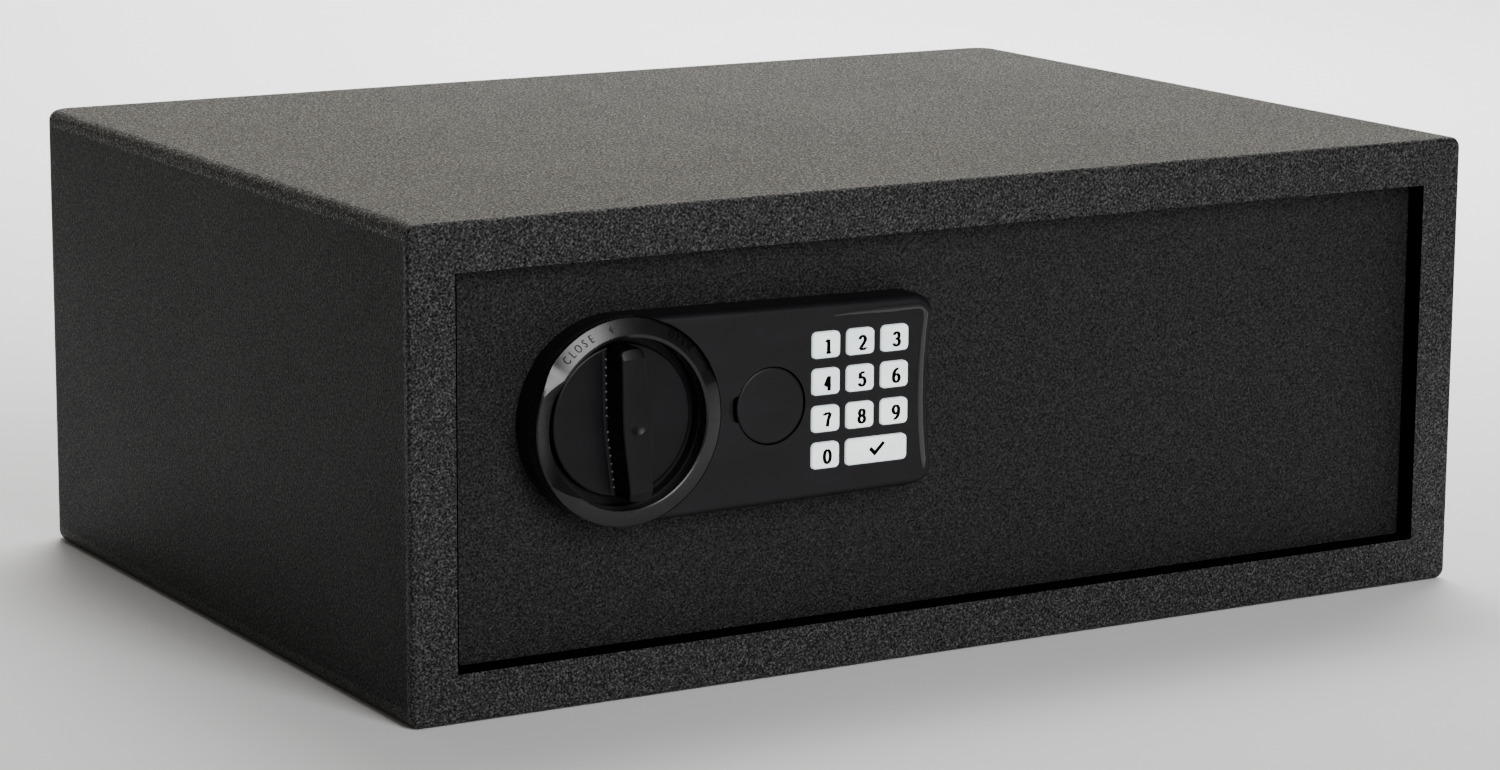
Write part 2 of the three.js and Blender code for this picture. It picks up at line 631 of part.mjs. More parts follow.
function addResetButton() {
  const { x, z, front } = RESET;
  const stem = rod("XZ", x, z, RESET.radius, front, COVER.back + RESET.proud, 20);
  const collar = rod("XZ", x, z, RESET.collar, front + 3.5, front + 5, 20);
  addPiece("reset_button", join(stem, collar), RED_PLASTIC);
  const { half } = RESET_SWITCH;
  const depth = [RESET_SWITCH.front, RESET_SWITCH.back];
  addPiece("reset_switch", block([x - half, x + half], depth, [z - half, z + half]), BLACK_PLASTIC);
}

// ---------- Inner cover with its posts and screws ----------
const POSTS = [
  { x: -190, z: 38 },
  { x: -190, z: 153.5 },
  { x: 163, z: 42 },
  { x: 163, z: 148 },
];
const SCREW = { hole: 2, post: 3.5, shank: 1.6, depth: 8, head: 3.6, headThickness: 2 };

function addInnerCover() {
  const { left, right, bottom, top, back, sheet, corner } = COVER;
  const pan = (inset, from, to) =>
    extrude(
      roundedRectangle(left + inset, bottom + inset, right - inset, top - inset, corner - inset),
      "XZ",
      from,
      to,
    );
  const through = [back - sheet - 1, back + 1];
  const rim = 1;
  const batteryWindow = block(
    [CASE.left + CASE.wall + rim, CASE.right - CASE.wall - rim],
    through,
    [CASE.bottom + CASE.wall + 2, CASE.top - CASE.wall - 2],
  );
  const boltHoles = [BOLT.low, BOLT.high].map((z) =>
    rod("YZ", BOLT.y, z, BOLT.radius + GUIDE.clear + 0.2, left - 1, left + sheet + 1, 24),
  );
  const screwHoles = POSTS.map(({ x, z }) => rod("XZ", x, z, SCREW.hole, ...through, 16));
  const resetHole = rod("XZ", RESET.x, RESET.z, RESET.hole, ...through, 20);
  const hollow = pan(sheet, DOOR_BACK - 1, back - sheet);
  const cover = cut(pan(0, DOOR_BACK, back), hollow, batteryWindow, resetHole, ...boltHoles, ...screwHoles);
  addPiece("inner_cover", cover, PAINT);

  const coverInside = back - sheet;
  POSTS.forEach(({ x, z }, i) => {
    const post = rod("XZ", x, z, SCREW.post, DOOR_BACK, coverInside, 16);
    const thread = rod("XZ", x, z, SCREW.hole, coverInside - SCREW.depth - 2, coverInside + 1, 16);
    addPiece(`cover_post_${i + 1}`, cut(post, thread), ZINC);
    const head = rod("XZ", x, z, SCREW.head, back, back + SCREW.headThickness, 16);
    const shank = rod("XZ", x, z, SCREW.shank, coverInside - SCREW.depth, back + 1, 12);
    addPiece(`cover_screw_${i + 1}`, join(head, shank), STEEL);
  });
}

addBody();
addFloorMat();
addDoorPlate();
addHingePins();
addHousing();
addBezel();
addKnob();
addSpindleBush();
addKeypad();
addOverride();
addBoltWork();
addSolenoid();
addBatteries();
addResetButton();
addInnerCover();

export default safe;
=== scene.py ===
"""An in-room safe of black textured steel with a plastic lock unit, built round its CAD frame."""
import json
import math

import bmesh
import bpy
from mathutils import Matrix, Vector


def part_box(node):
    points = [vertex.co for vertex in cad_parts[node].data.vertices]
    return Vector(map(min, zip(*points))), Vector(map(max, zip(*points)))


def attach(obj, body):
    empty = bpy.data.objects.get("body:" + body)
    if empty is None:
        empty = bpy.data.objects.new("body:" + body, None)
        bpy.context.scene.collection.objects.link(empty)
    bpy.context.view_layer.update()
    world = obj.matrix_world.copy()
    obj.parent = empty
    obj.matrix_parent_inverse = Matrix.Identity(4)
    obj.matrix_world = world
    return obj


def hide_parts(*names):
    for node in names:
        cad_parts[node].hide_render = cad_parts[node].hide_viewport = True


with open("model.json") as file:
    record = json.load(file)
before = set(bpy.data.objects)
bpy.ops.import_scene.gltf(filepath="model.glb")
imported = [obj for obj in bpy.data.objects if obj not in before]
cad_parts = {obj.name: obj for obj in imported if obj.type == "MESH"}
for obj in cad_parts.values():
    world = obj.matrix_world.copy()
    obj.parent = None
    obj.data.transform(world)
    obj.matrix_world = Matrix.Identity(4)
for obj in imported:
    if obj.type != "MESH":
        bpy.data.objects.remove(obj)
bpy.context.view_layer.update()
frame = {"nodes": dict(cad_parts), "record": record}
MM = 0.001


def add_object(name, data):
    thing = bpy.data.objects.new(name, data)
    bpy.context.scene.collection.objects.link(thing)
    return thing


# ---------- Camera, light and floor ----------
CAMERA_PLACE = (-0.9255, -1.5766, 0.4423)
CAMERA_ANGLES = (-30.576, 11.331, 0.367)  # azimuth, elevation and roll in degrees
CAMERA_LENS = 103.86  # mm, on a sensor 36 mm wide
FLOOR_HALF = 30
FLOOR_DROP = 0.2 * MM  # below the safe, so that the two never share a plane


def make_camera():
    azimuth, elevation, roll = (math.radians(a) for a in CAMERA_ANGLES)
    back = Vector(
        (
            math.sin(azimuth) * math.cos(elevation),
            -math.cos(azimuth) * math.cos(elevation),
            math.sin(elevation),
        )
    )
    level = Vector((0, 0, 1)).cross(back).normalized()
    upright = back.cross(level)
    across = level * math.cos(roll) + upright * math.sin(roll)
    up = upright * math.cos(roll) - level * math.sin(roll)
    data = bpy.data.cameras.new("camera")
    data.sensor_width = 36
    data.lens = CAMERA_LENS
    data.clip_end = 50
    camera = add_object("camera", data)
    turn = Matrix((across, up, back)).transposed().to_4x4()
    camera.matrix_world = Matrix.Translation(CAMERA_PLACE) @ turn
    bpy.context.scene.camera = camera


def area_light(name, place, target, width, height, power, spread):
    data = bpy.data.lights.new(name, "AREA")
    data.spread = math.radians(spread)
    data.shape = "RECTANGLE"
    data.size = width
    data.size_y = height
    data.energy = power
    light = add_object(name, data)
    light.location = place
    light.rotation_euler = (Vector(target) - Vector(place)).to_track_quat("-Z", "Y").to_euler()


def make_studio():
    """A dim room that is bright low down behind the safe, and three softboxes."""
    world = bpy.data.worlds.new("studio")
    world.use_nodes = True
    tree = world.node_tree
    place = tree.nodes.new("ShaderNodeTexCoord")
    facing = tree.nodes.new("ShaderNodeVectorMath")
    facing.operation = "DOT_PRODUCT"
    facing.inputs[1].default_value = Vector((0.5, 0.85, 0.1)).normalized()
    tree.links.new(place.outputs["Generated"], facing.inputs[0])
    ramp = tree.nodes.new("ShaderNodeMapRange")
    ramp.interpolation_type = "SMOOTHSTEP"
    ramp.inputs["From Min"].default_value = 0.45
    ramp.inputs["From Max"].default_value = 0.98
    ramp.inputs["To Min"].default_value = 0.1
    ramp.inputs["To Max"].default_value = 1.5
    tree.links.new(facing.outputs["Value"], ramp.inputs["Value"])
    background = tree.nodes["Background"]
    background.inputs["Color"].default_value = (1.0, 0.95, 0.84, 1)
    tree.links.new(ramp.outputs["Result"], background.inputs["Strength"])
    bpy.context.scene.world = world
    area_light("overhead_softbox", (0.95, 1.2, 2.2), (0.85, 1.0, 0), 1.6, 1.6, 42, 80)
    area_light("backdrop_softbox", (1.6, 3.3, 2.4), (1.5, 3.1, 0), 2.4, 2.4, 70, 70)
    area_light("front_softbox", (0.0, -2.3, 1.2), (-0.05, -0.18, 0.1), 0.9, 1.8, 12, 75)


def make_floor():
    mesh = bpy.data.meshes.new("floor")
    half = FLOOR_HALF
    corners = [(-half, -half, 0), (half, -half, 0), (half, half, 0), (-half, half, 0)]
    mesh.from_pydata(corners, [], [(0, 1, 2, 3)])
    floor = add_object("floor", mesh)
    floor.location.z = -FLOOR_DROP
    surface, shader = new_material("studio_floor", (0.85, 0.85, 0.86), 0.7)
    nodes = surface.node_tree.nodes
    mottle = nodes.new("ShaderNodeTexNoise")
    mottle.inputs["Scale"].default_value = 4
    greys = [(0.3, (0.91, 0.91, 0.92)), (0.7, (0.93, 0.93, 0.94))]
    tint = colour_ramp(surface, mottle.outputs["Fac"], greys)
    surface.node_tree.links.new(tint, shader.inputs["Base Color"])
    mesh.materials.append(surface)


# ---------- Materials ----------
def new_material(name, color, roughness, metallic=0.0):
    material = bpy.data.materials.new(name)
    material.use_nodes = True
    shader = material.node_tree.nodes["Principled BSDF"]
    shader.inputs["Base Color"].default_value = (*color, 1)
    shader.inputs["Roughness"].default_value = roughness
    shader.inputs["Metallic"].default_value = metallic
    return material, shader


def object_place(material, stretch=(1, 1, 1)):
    """Object coordinates, turned so that no flat face lies along the grid of a noise texture."""
    nodes = material.node_tree.nodes
    place = nodes.new("ShaderNodeTexCoord")
    mapping = nodes.new("ShaderNodeMapping")
    mapping.inputs["Scale"].default_value = stretch
    mapping.inputs["Rotation"].default_value = (0.5, 0.7, 0.3)
    material.node_tree.links.new(place.outputs["Object"], mapping.inputs["Vector"])
    return mapping.outputs["Vector"]


def noise(material, place, scale, detail=3.0, roughness=0.5):
    texture = material.node_tree.nodes.new("ShaderNodeTexNoise")
    texture.inputs["Scale"].default_value = scale
    texture.inputs["Detail"].default_value = detail
    texture.inputs["Roughness"].default_value = roughness
    material.node_tree.links.new(place, texture.inputs["Vector"])
    return texture.outputs["Fac"]


def cells(material, place, scale):
    texture = material.node_tree.nodes.new("ShaderNodeTexVoronoi")
    texture.feature = "SMOOTH_F1"
    texture.inputs["Scale"].default_value = scale
    material.node_tree.links.new(place, texture.inputs["Vector"])
    return texture.outputs["Distance"]


def colour_ramp(material, value, stops):
    ramp = material.node_tree.nodes.new("ShaderNodeValToRGB")
    for i, (position, color) in enumerate(stops):
        element = ramp.color_ramp.elements[i] if i < 2 else ramp.color_ramp.elements.new(position)
        element.position = position
        element.color = (*color, 1)
    material.node_tree.links.new(value, ramp.inputs["Fac"])
    return ramp.outputs["Color"]


def remap(material, value, low, high, start=0.0, end=1.0):
    """Values from start to end, spread from low to high."""
    node = material.node_tree.nodes.new("ShaderNodeMapRange")
    node.inputs["From Min"].default_value = start
    node.inputs["From Max"].default_value = end
    node.inputs["To Min"].default_value = low
    node.inputs["To Max"].default_value = high
    material.node_tree.links.new(value, node.inputs["Value"])
    return node.outputs["Result"]


def add_bump(material, shader, heights):
    """heights is a list of (height output, depth in metres, strength), coarse first."""
    links = material.node_tree.links
    normal = None
    for height, depth, strength in heights:
        bump = material.node_tree.nodes.new("ShaderNodeBump")
        bump.inputs["Distance"].default_value = depth
        bump.inputs["Strength"].default_value = strength
        links.new(height, bump.inputs["Height"])
        if normal is not None:
            links.new(normal, bump.inputs["Normal"])
        normal = bump.outputs["Normal"]
    links.new(normal, shader.inputs["Normal"])


def powder_coat(name, dull, bright, fleck_and_sheen=0.02):
    """Textured black powder coat: orange peel of about a millimetre with finer grain on it.
    dull and bright are how strongly its hollows and its crests reflect, and the last value is how pale
    the crests are: a faint pale grain in the coat, raised in the top and frame copies as painted sheen."""
    material, shader = new_material(name, (0.01, 0.01, 0.01), 0.5)
    place = object_place(material)
    peel = noise(material, place, 1150, 2.5, 0.6)
    grain = noise(material, place, 1900, 3, 0.6)
    patches = noise(material, place, 14, 3, 0.5)
    links = material.node_tree.links
    tint = colour_ramp(
        material,
        peel,
        [(0.36, (0.005, 0.005, 0.005)), (0.55, (0.008, 0.008, 0.008)), (0.68, (fleck_and_sheen, fleck_and_sheen, fleck_and_sheen))],
    )
    links.new(tint, shader.inputs["Base Color"])
    worn = material.node_tree.nodes.new("ShaderNodeMath")
    worn.operation = "ADD"
    links.new(remap(material, patches, -0.04, 0.04), worn.inputs[0])
    links.new(remap(material, peel, 0.85, 0.2), worn.inputs[1])
    links.new(worn.outputs["Value"], shader.inputs["Roughness"])
    shine = remap(material, peel, dull, bright, 0.35, 0.65)
    links.new(shine, shader.inputs["Specular IOR Level"])
    add_bump(material, shader, [(peel, 0.7 * MM, 0.9), (grain, 0.15 * MM, 0.5)])
    return material


def moulded_plastic(name, color, roughness, grain_depth=0.02, shine=0.5):
    """Moulded plastic with a fine spark-eroded grain and faint flow marks."""
    material, shader = new_material(name, color, roughness)
    shader.inputs["Specular IOR Level"].default_value = shine
    place = object_place(material)
    grain = noise(material, place, 3500, 2, 0.6)
    flow = noise(material, object_place(material, (1, 1, 2.5)), 45, 2, 0.5)
    darker = tuple(0.82 * c for c in color)
    lighter = tuple(min(1.0, 1.2 * c) for c in color)
    links = material.node_tree.links
    tint = colour_ramp(material, flow, [(0.35, darker), (0.65, lighter)])
    links.new(tint, shader.inputs["Base Color"])
    links.new(remap(material, flow, roughness - 0.05, roughness + 0.06), shader.inputs["Roughness"])
    add_bump(material, shader, [(flow, 0.05 * MM, 0.15), (grain, grain_depth * MM, 0.35)])
    return material


def plated_metal(name, color, roughness, stretch=(1, 1, 14)):
    """Metal with drawn lines along the axis that stretch holds back, and cloudy plating."""
    material, shader = new_material(name, color, roughness, 1.0)
    lines = noise(material, object_place(material, stretch), 260, 3, 0.6)
    clouds = noise(material, object_place(material), 90, 3, 0.6)
    links = material.node_tree.links
    tint = colour_ramp(
        material,
        clouds,
        [(0.3, tuple(0.8 * c for c in color)), (0.7, tuple(min(1.0, 1.1 * c) for c in color))],
    )
    links.new(tint, shader.inputs["Base Color"])
    links.new(remap(material, lines, roughness - 0.08, roughness + 0.12), shader.inputs["Roughness"])
    add_bump(material, shader, [(lines, 0.03 * MM, 0.3)])
    return material


def carpet_felt():
    material, shader = new_material("carpet_felt", (0.05, 0.051, 0.055), 0.95)
    place = object_place(material)
    fibres = noise(material, place, 1300, 6, 0.75)
    tufts = cells(material, place, 330)
    tint = colour_ramp(
        material,
        fibres,
        [(0.3, (0.03, 0.03, 0.033)), (0.52, (0.075, 0.076, 0.08)), (0.72, (0.15, 0.15, 0.155))],
    )
    material.node_tree.links.new(tint, shader.inputs["Base Color"])
    shader.inputs["Sheen Weight"].default_value = 0.35
    add_bump(material, shader, [(tufts, 0.8 * MM, 0.5), (fibres, 0.6 * MM, 0.7)])
    return material


def circuit_board():
    material, shader = new_material("circuit_board_green", (0.02, 0.11, 0.05), 0.35)
    tracks = material.node_tree.nodes.new("ShaderNodeTexBrick")
    tracks.inputs["Scale"].default_value = 160
    tracks.inputs["Mortar Size"].default_value = 0.03
    material.node_tree.links.new(object_place(material), tracks.inputs["Vector"])
    greens = [(0.2, (0.015, 0.09, 0.04)), (0.8, (0.06, 0.2, 0.08))]
    tint = colour_ramp(material, tracks.outputs["Fac"], greens)
    material.node_tree.links.new(tint, shader.inputs["Base Color"])
    add_bump(material, shader, [(tracks.outputs["Fac"], 0.04 * MM, 0.5)])
    return material


MATERIALS = {
    "powder_coat": powder_coat("powder_coat_black", 0.06, 0.36),
    "lock_plastic": moulded_plastic("lock_plastic_black", (0.0042, 0.0044, 0.0056), 0.46, 0.02, 0.22),
    "knob_plastic": moulded_plastic("knob_plastic_black", (0.003, 0.0032, 0.0042), 0.36, 0.01, 0.18),
    "key_plastic": moulded_plastic("key_plastic_white", (0.86, 0.95, 0.97), 0.42, 0.01),
    "zinc_plate": plated_metal("zinc_plate", (0.55, 0.56, 0.56), 0.36),
    "bright_steel": plated_metal("bright_steel", (0.6, 0.6, 0.61), 0.24),
    "brass": plated_metal("turned_brass", (0.62, 0.46, 0.19), 0.28),
    "carpet": carpet_felt(),
    "rubber_pad": moulded_plastic("silicone_rubber", (0.03, 0.03, 0.03), 0.72, 0.03),
    "circuit_board": circuit_board(),
    "ribbon_cable": moulded_plastic("ribbon_cable_grey", (0.35, 0.36, 0.37), 0.5),
    "battery_sleeve": moulded_plastic("battery_sleeve_blue", (0.05, 0.12, 0.26), 0.3),
    "reset_red": moulded_plastic("reset_red", (0.5, 0.02, 0.015), 0.3, 0.005),
}
# Copies of the one coat that paint light and shade: the sides reflect less as painted shade, the top
# has pale crests as painted sheen, and the frame has paler, stronger crests as painted sheen.
SIDE_COAT_PAINTED_SHADE = powder_coat("powder_coat_sides_painted_shade", 0.07, 0.14)
TOP_COAT_PAINTED_SHEEN = powder_coat("powder_coat_top_painted_sheen", 0.04, 0.36, 0.16)
FRAME_COAT_PAINTED_SHEEN = powder_coat("powder_coat_frame_painted_sheen", 0.03, 0.6, 0.06)
# Glossier, paler black for the housing bead: its gloss is real, and its paler colour is a painted
# highlight along the bead.
GLOSS_PLASTIC_PALE_HIGHLIGHT = moulded_plastic("gloss_plastic_black_painted_highlight", (0.012, 0.0125, 0.014), 0.24, 0.005, 0.6)
BEZEL_PLASTIC = moulded_plastic("bezel_plastic_black", (0.004, 0.0042, 0.0052), 0.26, 0.008, 0.4)
# The rib feet are far paler than the black knob: painted highlights where the ends of the ribs catch
# the light.
RIB_FEET_PAINTED_HIGHLIGHT = moulded_plastic("rib_feet_painted_highlight", (0.16, 0.16, 0.17), 0.3, 0.005, 0.5)
KEY_PRINT = moulded_plastic("key_print_black", (0.002, 0.002, 0.0025), 0.7, 0.005, 0.0)
# Near-black coat for the frame's returns and folds, the door's edges and the hinge pins: painted shade
# in the recess and the gap round the door.
SHADE_BLACK_COAT = moulded_plastic("painted_shade_black_coat", (0.0015, 0.0015, 0.0015), 0.9, 0.02, 0.0)
ENTER_WHITE = moulded_plastic("enter_key_white", (0.9, 0.95, 0.97), 0.42, 0.01)
# The white keys emit a little light though they hold no lamp: painted light that brightens them.
for painted_light_key in (MATERIALS["key_plastic"], ENTER_WHITE):
    glow = painted_light_key.node_tree.nodes["Principled BSDF"].inputs
    glow["Emission Color"].default_value = (0.85, 0.97, 1.0, 1)
    glow["Emission Strength"].default_value = 0.75


# ---------- Mesh tools ----------
def new_piece(name, points, faces, material=None):
    mesh = bpy.data.meshes.new(name)
    mesh.from_pydata([tuple(p) for p in points], [], faces)
    mesh.validate()
    piece = add_object(name, mesh)
    if material is not None:
        mesh.materials.append(material)
    return piece


def arc(across, up, radius, start, end, steps):
    """Points from start to end in degrees."""
    angles = (math.radians(start + (end - start) * i / steps) for i in range(steps + 1))
    return [(across + radius * math.cos(a), up + radius * math.sin(a)) for a in angles]


def rounded_rectangle(low, high, inset, radius, steps=8):
    """The box from low to high as seen from the front, smaller by inset all round."""
    radius = max(radius, 0.02 * MM)
    left, right = low.x + inset + radius, high.x - inset - radius
    bottom, top = low.z + inset + radius, high.z - inset - radius
    return [
        *arc(right, bottom, radius, -90, 0, steps),
        *arc(right, top, radius, 0, 90, steps),
        *arc(left, top, radius, 90, 180, steps),
        *arc(left, bottom, radius, 180, 270, steps),
    ]


def circle(across, up, radius, steps=72):
    return arc(across, up, radius, 0, 360 * (steps - 1) / steps, steps - 1)


PLANES = {
    "XY": lambda a, b, c: (a, b, c),
    "XZ": lambda a, b, c: (a, c, b),
    "YZ": lambda a, b, c: (c, a, b),
}


def band(a, b, count):
    """Faces between two closed outlines of count points, the first from point a, the other from b."""
    return [(a + k, a + (k + 1) % count, b + (k + 1) % count, b + k) for k in range(count)]


def stack(name, plane, levels, material=None, closed=False):
    """A skin through outlines with equally many points; levels is [(outline, height), ...].
    closed joins the last outline to the first, and otherwise both ends are capped."""
    to_space = PLANES[plane]
    count = len(levels[0][0])
    points = [to_space(a, b, height) for outline, height in levels for a, b in outline]
    faces = []
    pairs = len(levels) if closed else len(levels) - 1
    for i in range(pairs):
        faces += band(i * count, (i + 1) % len(levels) * count, count)
    if not closed:
        faces.append(tuple(reversed(range(count))))
        faces.append(tuple(range((len(levels) - 1) * count, len(levels) * count)))
    piece = new_piece(name, points, faces, material)
    face_outwards(piece)
    return piece


def curve_as_mesh(name, curve):
    """A piece with the mesh that a text or a curve makes."""
    holder = add_object(name, curve)
    graph = bpy.context.evaluated_depsgraph_get()
    mesh = bpy.data.meshes.new_from_object(holder.evaluated_get(graph))
    bpy.data.objects.remove(holder)
    return add_object(name, mesh)


def balls_as_mesh(name, shape):
    """A piece with what is in this bmesh, which is freed."""
    piece = add_object(name, bpy.data.meshes.new(name))
    shape.to_mesh(piece.data)
    shape.free()
    return piece


def face_outwards(piece):
    shape = bmesh.new()
    shape.from_mesh(piece.data)
    bmesh.ops.remove_doubles(shape, verts=shape.verts, dist=0.002 * MM)
    bmesh.ops.recalc_face_normals(shape, faces=shape.faces)
    shape.to_mesh(piece.data)
    shape.free()


def prism(name, plane, outline, start, end, material=None):
    return stack(name, plane, [(outline, start), (outline, end)], material)


def block(x, y, z):
    return prism("tool", "XY", [(x[0], y[0]), (x[1], y[0]), (x[1], y[1]), (x[0], y[1])], z[0], z[1])


def rod(plane, across, up, radius, start, end, steps=48):
    return prism("tool", plane, circle(across, up, radius, steps), start, end)


def offsets(pairs, radius, y):
    """Points of a profile at these distances, in mm, from a radius and a height."""
    return [(radius + a * MM, y + b * MM) for a, b in pairs]


def turned(name, x, z, profile, material=None, steps=96):
    """A solid turned round the line along Y through (x, z); profile is [(radius, y), ...]."""
    levels = [(circle(x, z, max(radius, 0.01 * MM), steps), y) for radius, y in profile]
    return stack(name, "XZ", levels, material)


def carve(piece, tools, operation="DIFFERENCE"):
    for tool in tools:
        cutter = piece.modifiers.new("cut", "BOOLEAN")
        cutter.operation = operation
        cutter.solver = "EXACT"
        cutter.object = tool
    graph = bpy.context.evaluated_depsgraph_get()
    carved = bpy.data.meshes.new_from_object(piece.evaluated_get(graph))
    piece.modifiers.clear()
    piece.data = carved
    for tool in tools:
        bpy.data.objects.remove(tool)
    face_outwards(piece)
    return piece


def merge(piece, *others):
    """Joins other meshes into piece as they are."""
    shape = bmesh.new()
    for part in (piece, *others):
        shape.from_mesh(part.data)
    shape.to_mesh(piece.data)
    shape.free()
    for part in others:
        bpy.data.objects.remove(part)
    return piece


def soften(piece, angle=28, bevel=0.0, segments=2, where=None, flat=False):
    """Smooth shading with crisp edges above angle, and a rounded edge of that width.
    where, if given, picks the points whose edges are rounded. flat keeps large faces flat."""
    mesh = piece.data
    mesh.shade_smooth()
    mesh.set_sharp_from_angle(angle=math.radians(angle))
    if bevel:
        rounding = piece.modifiers.new("edge_rounding", "BEVEL")
        rounding.width = bevel
        rounding.segments = segments
        rounding.harden_normals = True
        rounding.angle_limit = math.radians(angle)
        if where is not None:
            rounding.limit_method = "WEIGHT"
            weights = mesh.attributes.new("bevel_weight_edge", "FLOAT", "EDGE")
            sharp = mesh.attributes["sharp_edge"].data
            for edge in mesh.edges:
                ends = (mesh.vertices[v].co for v in edge.vertices)
                chosen = sharp[edge.index].value and all(where(p) for p in ends)
                weights.data[edge.index].value = 1.0 if chosen else 0.0
    if flat:
        piece.modifiers.new("flat_faces", "WEIGHTED_NORMAL").keep_sharp = True
    return piece


def place(piece, body, slot, *replaced):
    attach(piece, body)
    if replaced:
        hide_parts(*replaced)
    return piece


def middle_of(node):
    low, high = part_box(node)
    return (low + high) / 2


# ---------- Body: the rounded steel shell, in its welded panels ----------
EDGE_RADIUS = 4.5 * MM
BACK_CORNER = 12 * MM
FRONT_BEND = 2 * MM
SHEET = 2 * MM
FRAME_BORDER = 18 * MM
FRAME_FOLD = 1.2 * MM
PIN_RADIUS = 1.8 * MM
ANCHOR_RADIUS = 6 * MM
BASE_ANCHOR = (0.215, 0.02)
BACK_ANCHOR = (0.15, 0.095)
body_low, body_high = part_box("front_frame")
body_high.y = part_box("back_panel")[1].y


def bent(distance, radius):
    """How far a bend of this radius has moved in, at this distance from the face."""
    if distance >= radius:
        return 0.0
    return radius - math.sqrt(max(radius**2 - (radius - distance) ** 2, 0))


def body_block(inset):
    """The closed outside of the body, or its inside at that inset, as levels up Z."""
    edge = EDGE_RADIUS - inset
    front_bend = max(FRONT_BEND - inset, 0.05 * MM)
    steps = 8
    rises = [edge * (1 - math.cos(math.pi / 2 * i / steps)) for i in range(steps + 1)]
    low = body_low.z + inset
    high = body_high.z - inset
    heights = [low + r for r in rises] + [high - r for r in reversed(rises)]
    levels = []
    for z in heights:
        distance = min(z - low, high - z)
        side = bent(distance, edge)
        face = bent(distance, front_bend)
        left = body_low.x + inset + side
        right = body_high.x - inset - side
        front = body_low.y + inset + face
        back = body_high.y - inset - side
        corner = BACK_CORNER - inset - side
        outline = [
            *arc(right - front_bend, front + front_bend, front_bend, -90, 0, 4),
            *arc(right - corner, back - corner, corner, 0, 90, 12),
            *arc(left + corner, back - corner, corner, 90, 180, 12),
            *arc(left + front_bend, front + front_bend, front_bend, 180, 270, 4),
        ]
        levels.append((outline, z))
    return stack("tool", "XY", levels)


def anchor_holes(plane, anchor, face):
    across, up = anchor
    reach = 2 * SHEET
    return [rod(plane, s * across, up, ANCHOR_RADIUS, face - reach, face + reach) for s in (-1, 1)]


def make_panels():
    wide = 1.0
    holes = {
        "base_panel": anchor_holes("XY", BASE_ANCHOR, body_low.z),
        "back_panel": anchor_holes("XZ", BACK_ANCHOR, body_high.y),
    }
    for name in ("left_side", "right_side", "back_panel", "top_panel", "base_panel"):
        low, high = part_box(name)
        reach = [[low[i], high[i]] for i in range(3)]
        if name in ("left_side", "right_side"):
            outer = 0 if name == "left_side" else 1
            reach[0][outer] = wide * (-1, 1)[outer]
        if name == "top_panel":
            reach[2][1] = wide
        if name == "base_panel":
            reach[2][0] = -wide
        reach[1][1] = wide
        if name in ("top_panel", "base_panel"):
            reach[0] = [-wide, wide]
        panel = carve(body_block(0), [block(*reach)], "INTERSECT")
        panel.name = name + "_sheet"
        carve(panel, [body_block(SHEET)])
        if name in holes:
            carve(panel, holes[name])
        # The side panels take the copy with painted shade and the top the copy with painted sheen.
        coats = {"left_side": SIDE_COAT_PAINTED_SHADE, "right_side": SIDE_COAT_PAINTED_SHADE, "top_panel": TOP_COAT_PAINTED_SHEEN}
        panel.data.materials.append(coats.get(name, MATERIALS["powder_coat"]))
        soften(panel, flat=True)
        place(panel, "body", "powder_coat", name)


def make_front_frame():
    """One folded ring: round the outside bend, across the face, round the return and back inside."""
    low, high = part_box("front_frame")
    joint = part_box("left_side")[0].y
    steps = 8
    turns = [math.pi / 2 * i / steps for i in range(steps + 1)]

    def outside(inset, y):
        return rounded_rectangle(low, high, inset, EDGE_RADIUS - inset), y

    def opening(outset, y):
        return rounded_rectangle(low, high, FRAME_BORDER - outset, 0.6 * MM), y

    levels = [outside(0, joint)]
    for angle in turns:
        inset = FRONT_BEND * (1 - math.cos(angle))
        levels.append(outside(inset, low.y + FRONT_BEND * (1 - math.sin(angle))))
    for angle in turns:
        outset = -FRAME_FOLD * (1 - math.sin(angle))
        levels.append(opening(outset, low.y + FRAME_FOLD * (1 - math.cos(angle))))
    levels.append(opening(0, high.y))
    levels.append(opening(SHEET, high.y))
    levels.append(opening(SHEET, low.y + SHEET))
    levels.append(outside(SHEET, low.y + SHEET))
    levels.append(outside(SHEET, joint))
    # The frame takes the copy of the coat with painted sheen on its face.
    ring = stack("front_frame_folded", "XZ", levels, FRAME_COAT_PAINTED_SHEEN, closed=True)
    pin = middle_of("hinge_pin_upper")
    inside = FRAME_BORDER / 2
    carve(ring, [rod("XY", pin.x, pin.y, PIN_RADIUS + 0.6 * MM, inside, high.z - inside, 24)])
    paint_recess_shade(ring, low, high)
    soften(ring, flat=True)
    place(ring, "body", "powder_coat", "front_frame")


def paint_recess_shade(ring, low, high):
    """The returns round the opening, and the top and left folds into them, are in a near-black coat:
    painted shade for the deep recess and the gap lines at its edges.
    """
    ring.data.materials.append(SHADE_BLACK_COAT)
    for face in ring.data.polygons:
        middle = face.center
        left, top = middle.x - low.x, high.z - middle.z
        from_edges = min(left, high.x - middle.x, middle.z - low.z, top)
        on_return = from_edges > FRAME_BORDER - 2.5 * MM and middle.y > low.y + FRAME_FOLD
        on_fold = from_edges > FRAME_BORDER - FRAME_FOLD and abs(face.normal.y) < 0.995
        left_or_top = min(left, top) < FRAME_BORDER + MM
        if on_return or (on_fold and left_or_top):
            face.material_index = 1


